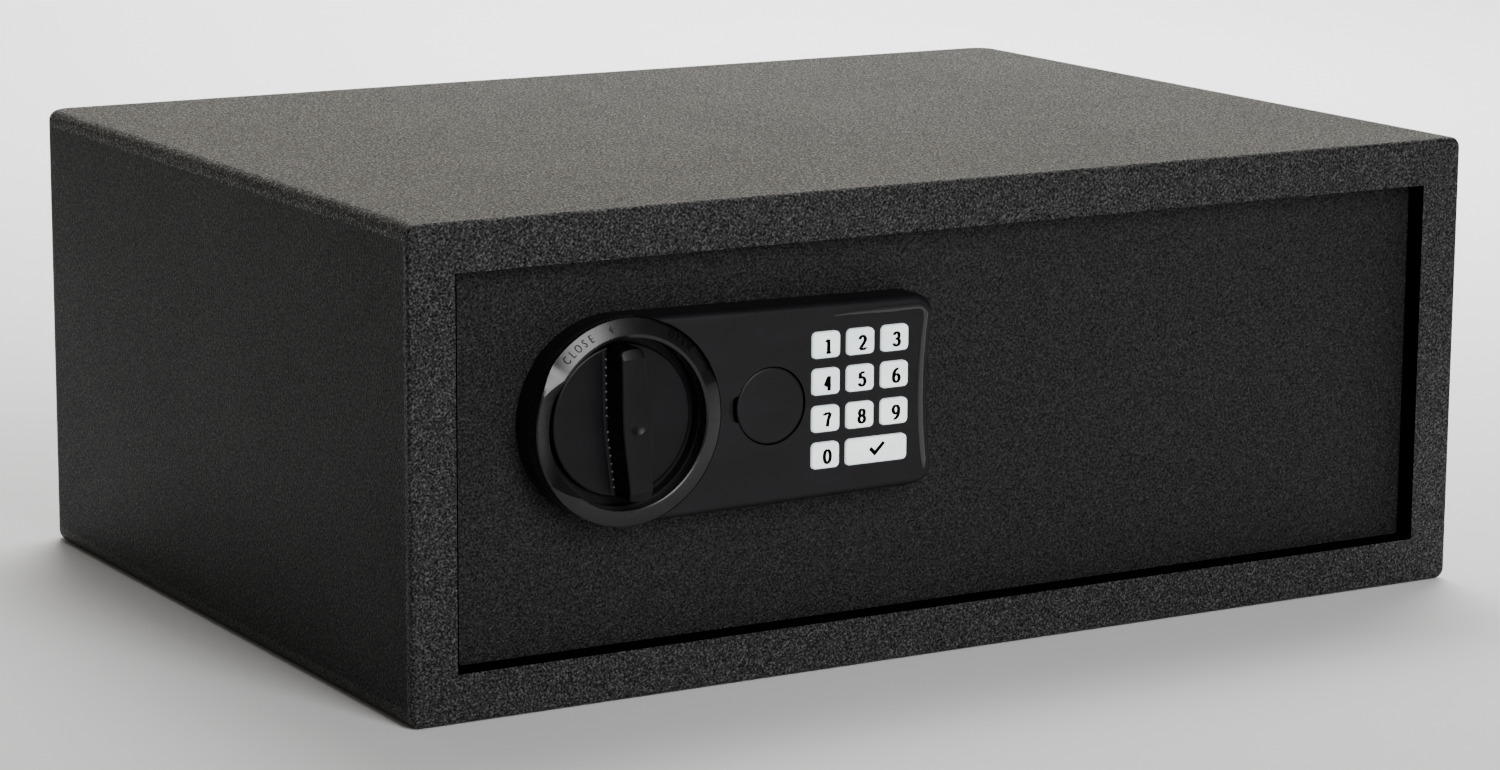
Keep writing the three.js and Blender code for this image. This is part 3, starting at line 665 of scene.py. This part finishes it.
def make_floor_mat():
    low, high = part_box("floor_mat")
    steps = 60
    thickness = high.z - low.z - 0.4 * MM
    columns = [low.x + (high.x - low.x) * i / steps for i in range(steps + 1)]
    rows = [low.y + (high.y - low.y) * k / steps for k in range(steps + 1)]
    points = []
    for y in rows:
        for x in columns:
            wave = math.sin(31 * x + 9 * y) * math.sin(23 * y - 5 * x)
            points.append((x, y, low.z + thickness + 0.18 * MM * wave))
    faces = []
    wide = steps + 1
    for k in range(steps):
        for i in range(steps):
            a = k * wide + i
            faces.append((a, a + 1, a + wide + 1, a + wide))
    mat = new_piece("floor_mat_felt", points, faces, MATERIALS["carpet"])
    solid = mat.modifiers.new("thickness", "SOLIDIFY")
    solid.thickness = thickness
    solid.offset = -1
    soften(mat, 50)
    place(mat, "body", "carpet", "floor_mat")


# ---------- Door plate and hinge pins ----------
PIN_IN_DOOR = 20 * MM
BUSH_HOLE = 8.3 * MM
BARREL_HOLE = 11.6 * MM
RIBBON_SLOT = {"x": (-66 * MM, -42 * MM), "z": (105 * MM, 118 * MM)}


def make_door_plate():
    low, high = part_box("door_plate")
    outline = rounded_rectangle(low, high, 0, 1 * MM, 6)
    plate = prism("door_plate_steel", "XZ", outline, low.y, high.y, MATERIALS["powder_coat"])
    knob = middle_of("knob_spindle")
    barrel = middle_of("lock_barrel")
    pin = middle_of("hinge_pin_upper")
    pin_hole = PIN_RADIUS + 0.3 * MM
    through = (low.y - MM, high.y + MM)
    carve(
        plate,
        [
            rod("XZ", knob.x, knob.z, BUSH_HOLE, *through),
            rod("XZ", barrel.x, barrel.z, BARREL_HOLE, *through),
            block(RIBBON_SLOT["x"], through, RIBBON_SLOT["z"]),
            rod("XY", pin.x, pin.y, pin_hole, high.z - PIN_IN_DOOR, high.z + MM, 24),
            rod("XY", pin.x, pin.y, pin_hole, low.z - MM, low.z + PIN_IN_DOOR, 24),
        ],
    )
    rim = 0.5 * MM

    def on_rim(p):
        return p.y < low.y + rim and (
            min(p.x - low.x, high.x - p.x) < 1.2 * MM or min(p.z - low.z, high.z - p.z) < 1.2 * MM
        )

    # The door's edges and the rounding round its face take the near-black coat: painted shade in the
    # gap round the door.
    plate.data.materials.append(SHADE_BLACK_COAT)
    for face in plate.data.polygons:
        if abs(face.normal.y) < 0.5:
            face.material_index = 1
    soften(plate, bevel=0.45 * MM, segments=3, where=on_rim)
    plate.modifiers["edge_rounding"].material = 1
    place(plate, "door", "powder_coat", "door_plate")


def make_hinge_pins():
    for name in ("hinge_pin_upper", "hinge_pin_lower"):
        low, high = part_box(name)
        middle = middle_of(name)
        chamfer = 0.4 * MM
        end = circle(middle.x, middle.y, PIN_RADIUS - chamfer, 32)
        shank = circle(middle.x, middle.y, PIN_RADIUS, 32)
        levels = [(end, low.z), (shank, low.z + chamfer), (shank, high.z - chamfer), (end, high.z)]
        # The pins are in the near-black coat: painted shade that keeps them dark in the gap round the
        # door.
        pin = stack(name + "_turned", "XY", levels, SHADE_BLACK_COAT)
        soften(pin)
        place(pin, "door", "powder_coat", name)


# ---------- Lock housing ----------
WALL = 2.2 * MM
WELL_RADIUS = 33 * MM
SPINDLE_HOLE = 5.8 * MM
CAP_POCKET = 15.35 * MM
CAP_CUP = 17.6 * MM
NOTCH_X = -107.3 * MM
NOTCH_RADIUS = 5.4 * MM
NOTCH_DEPTH = 3 * MM
KEY_PLAY = 0.35 * MM
HOUSING_CORNER = 8 * MM
HOUSING_WAIST = 2.1 * MM
KNOB_CENTRE = middle_of("knob_spindle")
BEZEL_RADIUS = 40 * MM
housing_low, housing_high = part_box("lock_housing")
HOUSING_BOTTOM = housing_low.z + 2 * MM
HOUSING_TOP = housing_high.z - 2 * MM
HOUSING_FACE = housing_low.y


def housing_right_end(inset, right):
    corner = max(HOUSING_CORNER - inset, 0.3 * MM)
    low = HOUSING_BOTTOM + HOUSING_CORNER
    high = HOUSING_TOP - HOUSING_CORNER
    half = (high - low) / 2
    radius = (half**2 + HOUSING_WAIST**2) / (2 * HOUSING_WAIST)
    angle = math.degrees(math.asin(half / radius))
    waist_x = right - HOUSING_WAIST + radius
    corner_x = right - HOUSING_CORNER
    return [
        *arc(corner_x, low, corner, -90, -4, 8),
        *arc(waist_x, (low + high) / 2, radius + inset, 180 + angle * 0.9, 180 - angle * 0.9, 16),
        *arc(corner_x, high, corner, 4, 90, 8),
    ]


def housing_outline(inset):
    right_end = housing_right_end(inset, housing_high.x)
    left_end = arc(KNOB_CENTRE.x, KNOB_CENTRE.z, BEZEL_RADIUS - inset, 88, 272, 48)
    return right_end + left_end


def housing_hollow(cap):
    """The space behind the face, with walls left round the cap's pocket and the finger notch."""
    back = housing_high.y + MM
    floor = HOUSING_FACE + WALL
    left = KNOB_CENTRE.x + BEZEL_RADIUS + WALL
    right_end = housing_right_end(WALL, housing_high.x)
    shape = right_end + [(left, HOUSING_TOP - WALL), (left, HOUSING_BOTTOM + WALL)]
    hollow = prism("tool", "XZ", shape, floor, back)
    cups = [
        rod("XZ", cap.x, cap.z, CAP_CUP, floor - MM, back + MM, 64),
        rod("XZ", NOTCH_X, cap.z, NOTCH_RADIUS + WALL, floor - MM, back + MM, 48),
    ]
    return carve(hollow, cups)


def make_housing():
    back = housing_high.y
    edge = ((0.15, 3.2), (0.35, 2.4), (0.8, 1.5), (1.5, 0.75), (2.3, 0.2), (3.1, 0))
    profile = [(0, back), (0, back - 6 * MM), *offsets(edge, 0, HOUSING_FACE)]
    levels = [(housing_outline(inset), y) for inset, y in profile]
    housing = stack("lock_housing_moulded", "XZ", levels, MATERIALS["lock_plastic"])
    front = HOUSING_FACE - MM
    bezel_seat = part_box("knob_bezel")[1].y
    well_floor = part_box("knob")[1].y + 0.6 * MM
    cap = middle_of("override_cover")
    knob = (KNOB_CENTRE.x, KNOB_CENTRE.z)
    pocket_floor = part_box("override_cover")[1].y + 0.4 * MM
    tools = [
        housing_hollow(cap),
        rod("XZ", *knob, BEZEL_RADIUS + 0.1 * MM, front, bezel_seat, 120),
        rod("XZ", *knob, WELL_RADIUS, front, well_floor, 96),
        rod("XZ", *knob, SPINDLE_HOLE, front, back + MM, 32),
        rod("XZ", cap.x, cap.z, CAP_POCKET, front, pocket_floor, 96),
        rod("XZ", cap.x, cap.z, BARREL_HOLE, front, back + MM, 48),
        rod("XZ", NOTCH_X, cap.z, NOTCH_RADIUS, front, HOUSING_FACE + NOTCH_DEPTH, 48),
    ]
    for name in key_names():
        hole = rounded_rectangle(*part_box(name), -KEY_PLAY, 2.1 * MM, 6)
        tools.append(prism("tool", "XZ", hole, front, HOUSING_FACE + 3 * MM))
    carve(housing, tools)
    soften(housing, 32, flat=True)
    place(housing, "door", "lock_plastic", "lock_housing")


def make_bead():
    """The raised bead that runs along the top, down the waisted right end and fades at the bottom."""
    inset = 4.6 * MM
    right_end = list(reversed(housing_right_end(inset, housing_high.x)))
    edge = HOUSING_TOP - inset
    lead_in = [(-66 * MM, edge - 0.4 * MM)] + [(x * MM, edge) for x in (-60, -50, -40, -32)]
    path = lead_in + right_end[:-6]
    points = []
    faces = []
    section = 9
    for i, (x, z) in enumerate(path):
        before = Vector(path[max(i - 1, 0)])
        after = Vector(path[min(i + 1, len(path) - 1)])
        along = (after - before).normalized()
        side = Vector((-along.y, along.x))
        ends = min(i, len(path) - 1 - i)
        swell = min(1.0, 0.25 + 0.25 * ends)
        for k in range(section):
            angle = math.pi * k / (section - 1)
            offset = 1.25 * MM * swell * math.cos(angle)
            rise = 0.75 * MM * swell * math.sin(angle)
            points.append((x + side.x * offset, HOUSING_FACE + 0.05 * MM - rise, z + side.y * offset))
    for i in range(len(path) - 1):
        faces += band(i * section, (i + 1) * section, section)
    faces.append(tuple(range(section)))
    faces.append(tuple(reversed(range(len(points) - section, len(points)))))
    # The bead takes the paler gloss plastic, whose paler colour is a painted highlight.
    bead = new_piece("lock_housing_bead", points, faces, GLOSS_PLASTIC_PALE_HIGHLIGHT)
    face_outwards(bead)
    soften(bead, 50)
    place(bead, "door", "lock_plastic")


# ---------- Bezel round the knob ----------
CREST_OUT = (160, 212)
CREST_IN_FROM = 232
PAD = (25, 146)


def between(angle, start, end):
    """0 before start, 1 after end, in a straight line."""
    return min(max((angle - start) / (end - start), 0), 1)


def bezel_section(angle):
    """Cross-section of the bezel at this angle in degrees, from the right, as (radius, y)."""
    crest_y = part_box("knob_bezel")[0].y
    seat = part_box("knob_bezel")[1].y
    outwards = between(angle, PAD[1], CREST_OUT[0]) * (1 - between(angle, CREST_OUT[1], CREST_IN_FROM))
    on_pad = between(angle, PAD[0] - 6, PAD[0] + 2) * (1 - between(angle, PAD[1] - 4, PAD[1] + 8))
    crest = (33.9 + 5.2 * outwards) * MM
    outer_drop = (1.3 + 1.9 * on_pad - 0.9 * outwards) * MM
    inner_drop = (0.35 + 2.5 * outwards) * MM
    outer = 39.8 * MM
    inner = (33.0 + 0.5 * math.sin(math.radians(angle)) * -1) * MM
    edge = 0.35 * MM
    return [
        (outer, seat),
        (outer, crest_y + outer_drop + edge),
        (outer - 0.1 * MM, crest_y + outer_drop + 0.3 * edge),
        (outer - edge, crest_y + outer_drop),
        (max(crest + 0.3 * MM, inner + 0.8 * MM), crest_y + 0.06 * MM),
        (crest, crest_y),
        (crest - 0.25 * MM, crest_y + 0.08 * MM),
        (inner + edge, crest_y + inner_drop),
        (inner + 0.1 * MM, crest_y + inner_drop + 0.3 * edge),
        (inner, crest_y + inner_drop + edge),
        (inner + 0.6 * MM, seat),
    ]


def make_bezel():
    steps = 240
    points = []
    faces = []
    for i in range(steps):
        angle = 360 * i / steps
        turn = math.radians(angle)
        section = bezel_section(angle)
        for radius, y in section:
            points.append(
                (KNOB_CENTRE.x + radius * math.cos(turn), y, KNOB_CENTRE.z + radius * math.sin(turn))
            )
    count = len(section)
    for i in range(steps):
        faces += band(i * count, (i + 1) % steps * count, count)
    bezel = new_piece("knob_bezel_moulded", points, faces, BEZEL_PLASTIC)
    face_outwards(bezel)
    soften(bezel, 24)
    place(bezel, "door", "knob_plastic", "knob_bezel")


def text_mesh(name, text, size, depth):
    """Text as a mesh, centred, lying in its own XY plane and facing +Z."""
    data = bpy.data.curves.new(name, "FONT")
    data.body = text
    data.size = size
    data.extrude = depth / 2
    data.align_x = "CENTER"
    data.align_y = "CENTER"
    return curve_as_mesh(name, data)


def make_bezel_words():
    """CLOSE, OPEN and an arrow between them stand in low relief on the sloping pad."""
    letters = []
    crest_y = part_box("knob_bezel")[0].y
    pad_width, pad_fall = 5.6, 3.1
    slope = math.hypot(pad_width, pad_fall)
    for word, start, step in (("CLOSE", 135, -4.9), ("\u2190", 101, 0), ("OPEN", 60, -4.8)):
        for i, letter in enumerate(word):
            turn = math.radians(start + i * step)
            radial = Vector((math.cos(turn), 0, math.sin(turn)))
            inwards = Vector((0, 1, 0))
            up = (radial * pad_width + inwards * pad_fall) / slope
            facing = (radial * pad_fall - inwards * pad_width) / slope
            across = up.cross(facing)
            middle = Vector((KNOB_CENTRE.x, crest_y + 1.6 * MM, KNOB_CENTRE.z)) + radial * 36.8 * MM
            turned_to = Matrix((across, up, facing)).transposed().to_4x4()
            piece = text_mesh("letter", letter, 4.6 * MM, 0.7 * MM)
            squeeze = Matrix.Diagonal((0.66, 1, 1, 1))
            piece.data.transform(Matrix.Translation(middle) @ turned_to @ squeeze)
            letters.append(piece)
    words = merge(*letters)
    words.name = "bezel_words"
    words.data.materials.clear()
    words.data.materials.append(MATERIALS["knob_plastic"])
    soften(words, 40)
    place(words, "door", "knob_plastic")


# ---------- Knob ----------
LEAN = math.radians(4)
GRIP_HALF = 29.2 * MM


def grip_half_width(z):
    """Half the width of the grip, wider in the middle and round at its ends."""
    width = (5.0 + 0.6 * (1 + math.cos(math.pi * z / GRIP_HALF))) * MM
    rounding = 1.8 * MM
    past = abs(z) - (GRIP_HALF - rounding)
    if past > 0:
        width -= rounding - math.sqrt(max(rounding**2 - past**2, 0))
    return width


RIB_PITCH = 3.1 * MM
RIB_FOOT = 0.42 * MM
DIMPLE_BALL = 8 * MM
DIMPLE_DEPTH = 0.8 * MM


def rib(z):
    """Height of the ribs on the sides of the grip, from 0 to 1, with none at the middle or the ends."""
    if abs(z) < 0.6 * RIB_PITCH or abs(z) > GRIP_HALF - RIB_PITCH:
        return 0.0
    return max(0.0, math.cos(2 * math.pi * z / RIB_PITCH)) ** 1.5


def make_grip(base, front):
    stations = 220
    sections = []
    for i in range(stations + 1):
        t = -math.cos(math.pi * i / stations)
        z = GRIP_HALF * (0.55 * t + 0.45 * (2 * i / stations - 1))
        half = grip_half_width(z)
        past = max(abs(z) - (GRIP_HALF - 3.4 * MM), 0)
        top = front + 0.5 * past
        ribs = rib(z)
        edge = min(0.9 * MM, 0.6 * half)
        right = []
        for share, swell in ((0.0, 0.55), (0.12, 0.5), (0.3, 0.34), (0.6, 0.26), (0.85, 0.1)):
            y = base + (top + 1.2 * MM - base) * share
            right.append((half + swell * MM * ribs * (half > 2.5 * MM), y))
        for step in range(5):
            angle = math.pi / 2 * step / 4
            y = top + 0.25 * MM + edge * (1 - math.sin(angle))
            right.append((half - edge * (1 - math.cos(angle)), y))
        crown = [(half * s, top + 0.25 * MM * (s / 0.9) ** 2) for s in (0.6, 0.3, 0)]
        left = [(-x, y) for x, y in reversed(right + crown[:-1])]
        sections.append(([(x, y) for x, y in right + crown + left], z))
    return stack("tool", "XY", sections)


def make_rib_feet(face):
    """A small bead where each rib of the grip meets the skirt round it."""
    beads = bmesh.new()
    most = round(GRIP_HALF / RIB_PITCH)
    for row in range(-most, most + 1):
        z = row * RIB_PITCH
        if rib(z) == 0.0:
            continue
        for side in (-1, 1):
            spot = (side * (grip_half_width(z) + 0.85 * MM), face - 0.85 * MM, z)
            place_at = Matrix.Translation(spot)
            bmesh.ops.create_icosphere(beads, subdivisions=2, radius=RIB_FOOT, matrix=place_at)
    return balls_as_mesh("knob_rib_feet", beads)


def make_knob():
    low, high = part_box("knob")
    centre_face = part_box("front_frame")[0].y
    edge = ((0, 0), (14, 0), (28.4, 0), (29.0, 0.12), (29.35, 0.4), (29.5, 0.9))
    profile = [*offsets(edge, 0, centre_face), (29.5 * MM, high.y), (0, high.y)]
    disc = turned("knob_moulded", 0, 0, profile, MATERIALS["knob_plastic"], 120)
    grip = make_grip(centre_face + 0.6 * MM, low.y)
    ball = bmesh.new()
    bmesh.ops.create_uvsphere(ball, u_segments=64, v_segments=48, radius=DIMPLE_BALL)
    bmesh.ops.translate(ball, verts=ball.verts, vec=(0, low.y + DIMPLE_DEPTH - DIMPLE_BALL, 0))
    carve(grip, [balls_as_mesh("tool", ball)])
    skirt_levels = []
    for outset, y in ((2.1, 0.3), (1.9, -0.2), (1.1, -0.55), (0.2, -0.6)):
        outline = []
        for side in (1, -1):
            for i in range(41):
                z = side * GRIP_HALF * 0.955 * math.sin(math.pi / 2 * (i / 20 - 1))
                width = (5.1 + 0.6 * (1 + math.cos(math.pi * z / GRIP_HALF)) + outset) * MM
                outline.append((side * width, z))
        skirt_levels.append((outline, centre_face + y * MM))
    skirt = stack("tool", "XZ", skirt_levels)
    feet = make_rib_feet(centre_face)
    knob = merge(disc, grip, skirt)
    lean = Matrix.Rotation(-LEAN, 4, "Y")
    knob.data.transform(Matrix.Translation((KNOB_CENTRE.x, 0, KNOB_CENTRE.z)) @ lean)
    soften(knob, 32, flat=True)
    place(knob, "knob_assembly", "knob_plastic", "knob")
    # The beads take the pale plastic: painted highlights at the feet of the ribs.
    feet.data.materials.append(RIB_FEET_PAINTED_HIGHLIGHT)
    feet.data.transform(Matrix.Translation((KNOB_CENTRE.x, 0, KNOB_CENTRE.z)) @ lean)
    soften(feet, 40)
    place(feet, "knob_assembly", "knob_plastic")


# ---------- Override cap, keys and their print ----------
def make_cap():
    low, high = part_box("override_cover")
    centre = middle_of("override_cover")
    radius = (high.x - low.x) / 2
    inner = 2.2 * MM
    profile = [
        (0, low.y),
        *offsets(((-1, 0), (-0.45, 0.12), (-0.12, 0.4), (0, 0.9), (0, 2), (-0.6, 2.1)), radius, low.y),
        *offsets(((-0.6, 0), (-2, 0)), radius, high.y),
        (radius - 2 * MM, low.y + inner),
        (0, low.y + inner),
    ]
    cap = turned("override_cover_moulded", centre.x, centre.z, profile, MATERIALS["lock_plastic"])
    soften(cap, 35, flat=True)
    place(cap, "cap", "lock_plastic", "override_cover")


def key_names():
    return [f"key_{i}" for i in range(10)] + ["key_enter"]


def make_keys():
    for name in key_names():
        low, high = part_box(name)
        edge = ((0, 0.75), (0.08, 0.4), (0.3, 0.14), (0.75, 0.02), (1.3, 0))
        levels = []
        for inset, y in ((0, high.y), *offsets(edge, 0, low.y)):
            levels.append((rounded_rectangle(low, high, inset, 1.9 * MM - inset), y))
        white = ENTER_WHITE if name == "key_enter" else MATERIALS["key_plastic"]
        key = stack(name + "_moulded", "XZ", levels, white)
        soften(key, 35, flat=True)
        place(key, name + "_cap", "key_plastic", name)
        if name == "key_enter":
            make_check_mark(low, high)
        else:
            make_digit(name, low, high)


def oval(across, up, half_width, half_height, start, end):
    """Points of part of an oval, in a box one wide and one high."""
    steps = max(6, int(abs(end - start) / 12))
    angles = (math.radians(start + (end - start) * i / steps) for i in range(steps + 1))
    return [(across + half_width * math.cos(a), up + half_height * math.sin(a)) for a in angles]


# Strokes end at sharp corners, where a pen line would otherwise be pinched.
DIGIT_STROKES = {
    "0": [oval(0.5, 0.5, 0.5, 0.5, 90, 450)],
    "1": [[(0.15, 0.8), (0.55, 1)], [(0.55, 1), (0.55, 0)], [(0.15, 0), (0.95, 0)]],
    "2": [
        oval(0.5, 0.73, 0.46, 0.27, 175, -35) + [(0.05, 0)],
        [(0.05, 0), (1, 0)],
        [(1, 0), (1, 0.12)],
    ],
    "3": [oval(0.46, 0.75, 0.42, 0.25, 165, -90) + oval(0.46, 0.26, 0.5, 0.26, 90, -165)],
    "4": [[(0.68, 0), (0.68, 1)], [(0.68, 1), (0, 0.3)], [(0, 0.3), (1, 0.3)], [(0.4, 0), (0.95, 0)]],
    "5": [[(0.92, 1), (0.2, 1)], [(0.2, 1), (0.12, 0.54)], oval(0.46, 0.32, 0.5, 0.32, 130, -160)],
    "6": [oval(0.5, 0.3, 0.48, 0.3, 90, 450), oval(0.75, 0.4, 0.73, 0.6, 190, 80)],
    "7": [[(0, 0.86), (0, 1)], [(0, 1), (0.96, 1)], [(0.96, 1), (0.58, 0.5), (0.45, 0)]],
    "8": [oval(0.5, 0.76, 0.4, 0.24, 90, 450), oval(0.5, 0.27, 0.49, 0.27, 90, 450)],
    "9": [oval(0.5, 0.7, 0.48, 0.3, 90, 450), oval(0.25, 0.6, 0.73, 0.6, 10, -100)],
}
DIGIT_WIDTH = 2.7 * MM
DIGIT_HEIGHT = 5.2 * MM
PEN_WIDE = 0.82 * MM
PEN_HIGH = 0.5 * MM


def make_digit(name, low, high):
    """A digit drawn with a pen that is wider than it is high, lying flat on the key's face."""
    data = bpy.data.curves.new(name, "CURVE")
    data.dimensions = "3D"
    data.bevel_depth = PEN_HIGH
    data.bevel_resolution = 3
    data.use_fill_caps = True
    squeeze = PEN_WIDE / PEN_HIGH
    for stroke in DIGIT_STROKES[name[-1]]:
        line = data.splines.new("POLY")
        line.points.add(len(stroke) - 1)
        for point, (a, b) in zip(line.points, stroke):
            point.co = ((a - 0.5) * DIGIT_WIDTH / squeeze, 0, (b - 0.5) * DIGIT_HEIGHT, 1)
    digit = curve_as_mesh(name.replace("key", "digit"), data)
    mesh = digit.data
    x = low.x + 0.55 * (high.x - low.x)
    z = low.z + 0.46 * (high.z - low.z)
    flat = Matrix.Diagonal((squeeze, 0.1, 1, 1))
    mesh.transform(Matrix.Translation((x, low.y, z)) @ flat)
    mesh.materials.clear()
    mesh.materials.append(KEY_PRINT)
    place(digit, name + "_cap", "lock_plastic")


def make_check_mark(low, high):
    middle = (low + high) / 2
    corners = [(-3.7, 0.3), (-2.5, 1.4), (-0.9, -0.2), (2.7, 3.2), (3.8, 2.3), (-0.9, -2.4)]
    outline = [(middle.x + a * MM, middle.z + b * MM) for a, b in corners]
    mark = prism("check_mark", "XZ", outline, low.y - 0.05 * MM, low.y + 0.03 * MM, KEY_PRINT)
    place(mark, "key_enter_cap", "lock_plastic")


# ---------- Inner cover and what shows on it ----------
def make_inner_cover():
    low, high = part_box("inner_cover")
    sheet = 1.5 * MM

    def pan(inset, rim, floor):
        bend = 3 * MM - inset
        levels = [(pan_outline(inset), rim)]
        for i in range(7):
            angle = math.pi / 2 * i / 6
            outline = pan_outline(inset + bend * (1 - math.cos(angle)))
            levels.append((outline, floor - bend * (1 - math.sin(angle))))
        return levels

    def pan_outline(inset):
        return rounded_rectangle(low, high, inset, 5 * MM - inset)

    cover = stack("inner_cover_pressed", "XZ", pan(0, low.y, high.y), MATERIALS["powder_coat"])
    hollow = stack("tool", "XZ", pan(sheet, low.y - MM, high.y - sheet))
    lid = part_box("battery_lid")
    button = middle_of("reset_button")
    tools = [hollow]
    tools.append(
        block(
            (lid[0].x + 4 * MM, lid[1].x - 4 * MM),
            (high.y - 3 * MM, high.y + MM),
            (lid[0].z + 3 * MM, lid[1].z - 3 * MM),
        )
    )
    tools.append(rod("XZ", button.x, button.z, 4.6 * MM, high.y - 3 * MM, high.y + MM))
    for name in ("bolt_upper", "bolt_lower"):
        bolt = middle_of(name)
        tools.append(rod("YZ", bolt.y, bolt.z, 6.8 * MM, low.x - MM, low.x + 3 * MM))
    for i in range(1, 5):
        screw = middle_of(f"cover_screw_{i}")
        tools.append(rod("XZ", screw.x, screw.z, 2 * MM, high.y - 3 * MM, high.y + MM, 24))
    carve(cover, tools)
    soften(cover, 32, flat=True)
    place(cover, "door", "powder_coat", "inner_cover")


def make_screws():
    for i in range(1, 5):
        name = f"cover_screw_{i}"
        low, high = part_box(name)
        x, _, z = middle_of(name)
        head = (high.x - low.x) / 2
        seat = high.y - 2 * MM
        profile = [
            *offsets(((0, 0), (1.2, 0), (1.6, 0.6)), 0, low.y),
            (1.6 * MM, seat),
            (head, seat),
            (head, seat + 0.6 * MM),
            (head * 0.93, seat + 1.2 * MM),
            (head * 0.74, seat + 1.7 * MM),
            (head * 0.4, high.y),
            (0, high.y),
        ]
        screw = turned(name + "_turned", x, z, profile, MATERIALS["bright_steel"], 48)
        slot, reach = 0.5 * MM, 1.9 * MM
        depth = (high.y - 1.1 * MM, high.y + MM)
        carve(
            screw,
            [
                block((x - slot, x + slot), depth, (z - reach, z + reach)),
                block((x - reach, x + reach), depth, (z - slot, z + slot)),
            ],
        )
        soften(screw, 35)
        place(screw, "door", "bright_steel", name)


def make_battery_lid():
    low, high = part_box("battery_lid")
    levels = []
    edge = ((0, -0.8), (0.25, -0.2), (0.9, 0))
    for inset, y in ((0, low.y), *offsets(edge, 0, high.y)):
        levels.append((rounded_rectangle(low, high, inset, 3 * MM - inset), y))
    lid = stack("battery_lid_moulded", "XZ", levels, MATERIALS["lock_plastic"])
    grooves = []
    middle = (low.z + high.z) / 2
    for i in range(7):
        x = high.x - (8 + 2.4 * i) * MM
        half = (13 - 0.5 * i) * MM
        deep = (high.y - 0.7 * MM, high.y + MM)
        grooves.append(block((x - 0.6 * MM, x + 0.6 * MM), deep, (middle - half, middle + half)))
    carve(lid, grooves)
    soften(lid, 35, flat=True)
    place(lid, "lid", "lock_plastic", "battery_lid")


def make_bolts():
    for name in ("bolt_upper", "bolt_lower"):
        low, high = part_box(name)
        middle = middle_of(name)
        radius = 6 * MM
        levels = []
        for inset, x in ((1.6, 0), (0.7, 0.35), (0.2, 1.0), (0, 2.0)):
            levels.append((circle(middle.y, middle.z, radius - inset * MM, 64), low.x + x * MM))
        levels.append((circle(middle.y, middle.z, radius, 64), high.x))
        bolt = stack(name + "_turned", "YZ", levels, MATERIALS["bright_steel"])
        soften(bolt, 40, flat=True)
        place(bolt, "bolt_assembly", "bright_steel", name)


def make_reset_button():
    low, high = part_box("reset_button")
    x, _, z = middle_of("reset_button")
    collar = ((4, 0), (5.5, 0), (5.5, 1.5), (4, 1.5))
    end = ((4, -0.8), (3.7, -0.25), (3.1, 0), (1.5, -0.15), (0, -0.2))
    profile = [
        *offsets(((0, 0), (4, 0)), 0, low.y),
        *offsets(collar, 0, low.y + 3.5 * MM),
        *offsets(end, 0, high.y),
    ]
    button = turned("reset_button_moulded", x, z, profile, MATERIALS["reset_red"], 64)
    soften(button, 35)
    place(button, "reset", "reset_red", "reset_button")


def dress_cad_nodes():
    """The mechanism inside the door keeps its CAD shape, with rounded edges and its own material."""
    slots = {entry["node"]: entry["material_slot"] for entry in frame["record"]["subparts"]}
    for name, node in frame["nodes"].items():
        node.data.materials.clear()
        node.data.materials.append(MATERIALS[slots[name]])
        if not node.hide_render:
            soften(node, 35, bevel=0.2 * MM)


make_camera()
make_studio()
make_floor()
make_panels()
make_front_frame()
make_floor_mat()
make_door_plate()
make_hinge_pins()
make_housing()
make_bead()
make_bezel()
make_bezel_words()
make_knob()
make_cap()
make_keys()
make_inner_cover()
make_screws()
make_battery_lid()
make_bolts()
make_reset_button()
dress_cad_nodes()
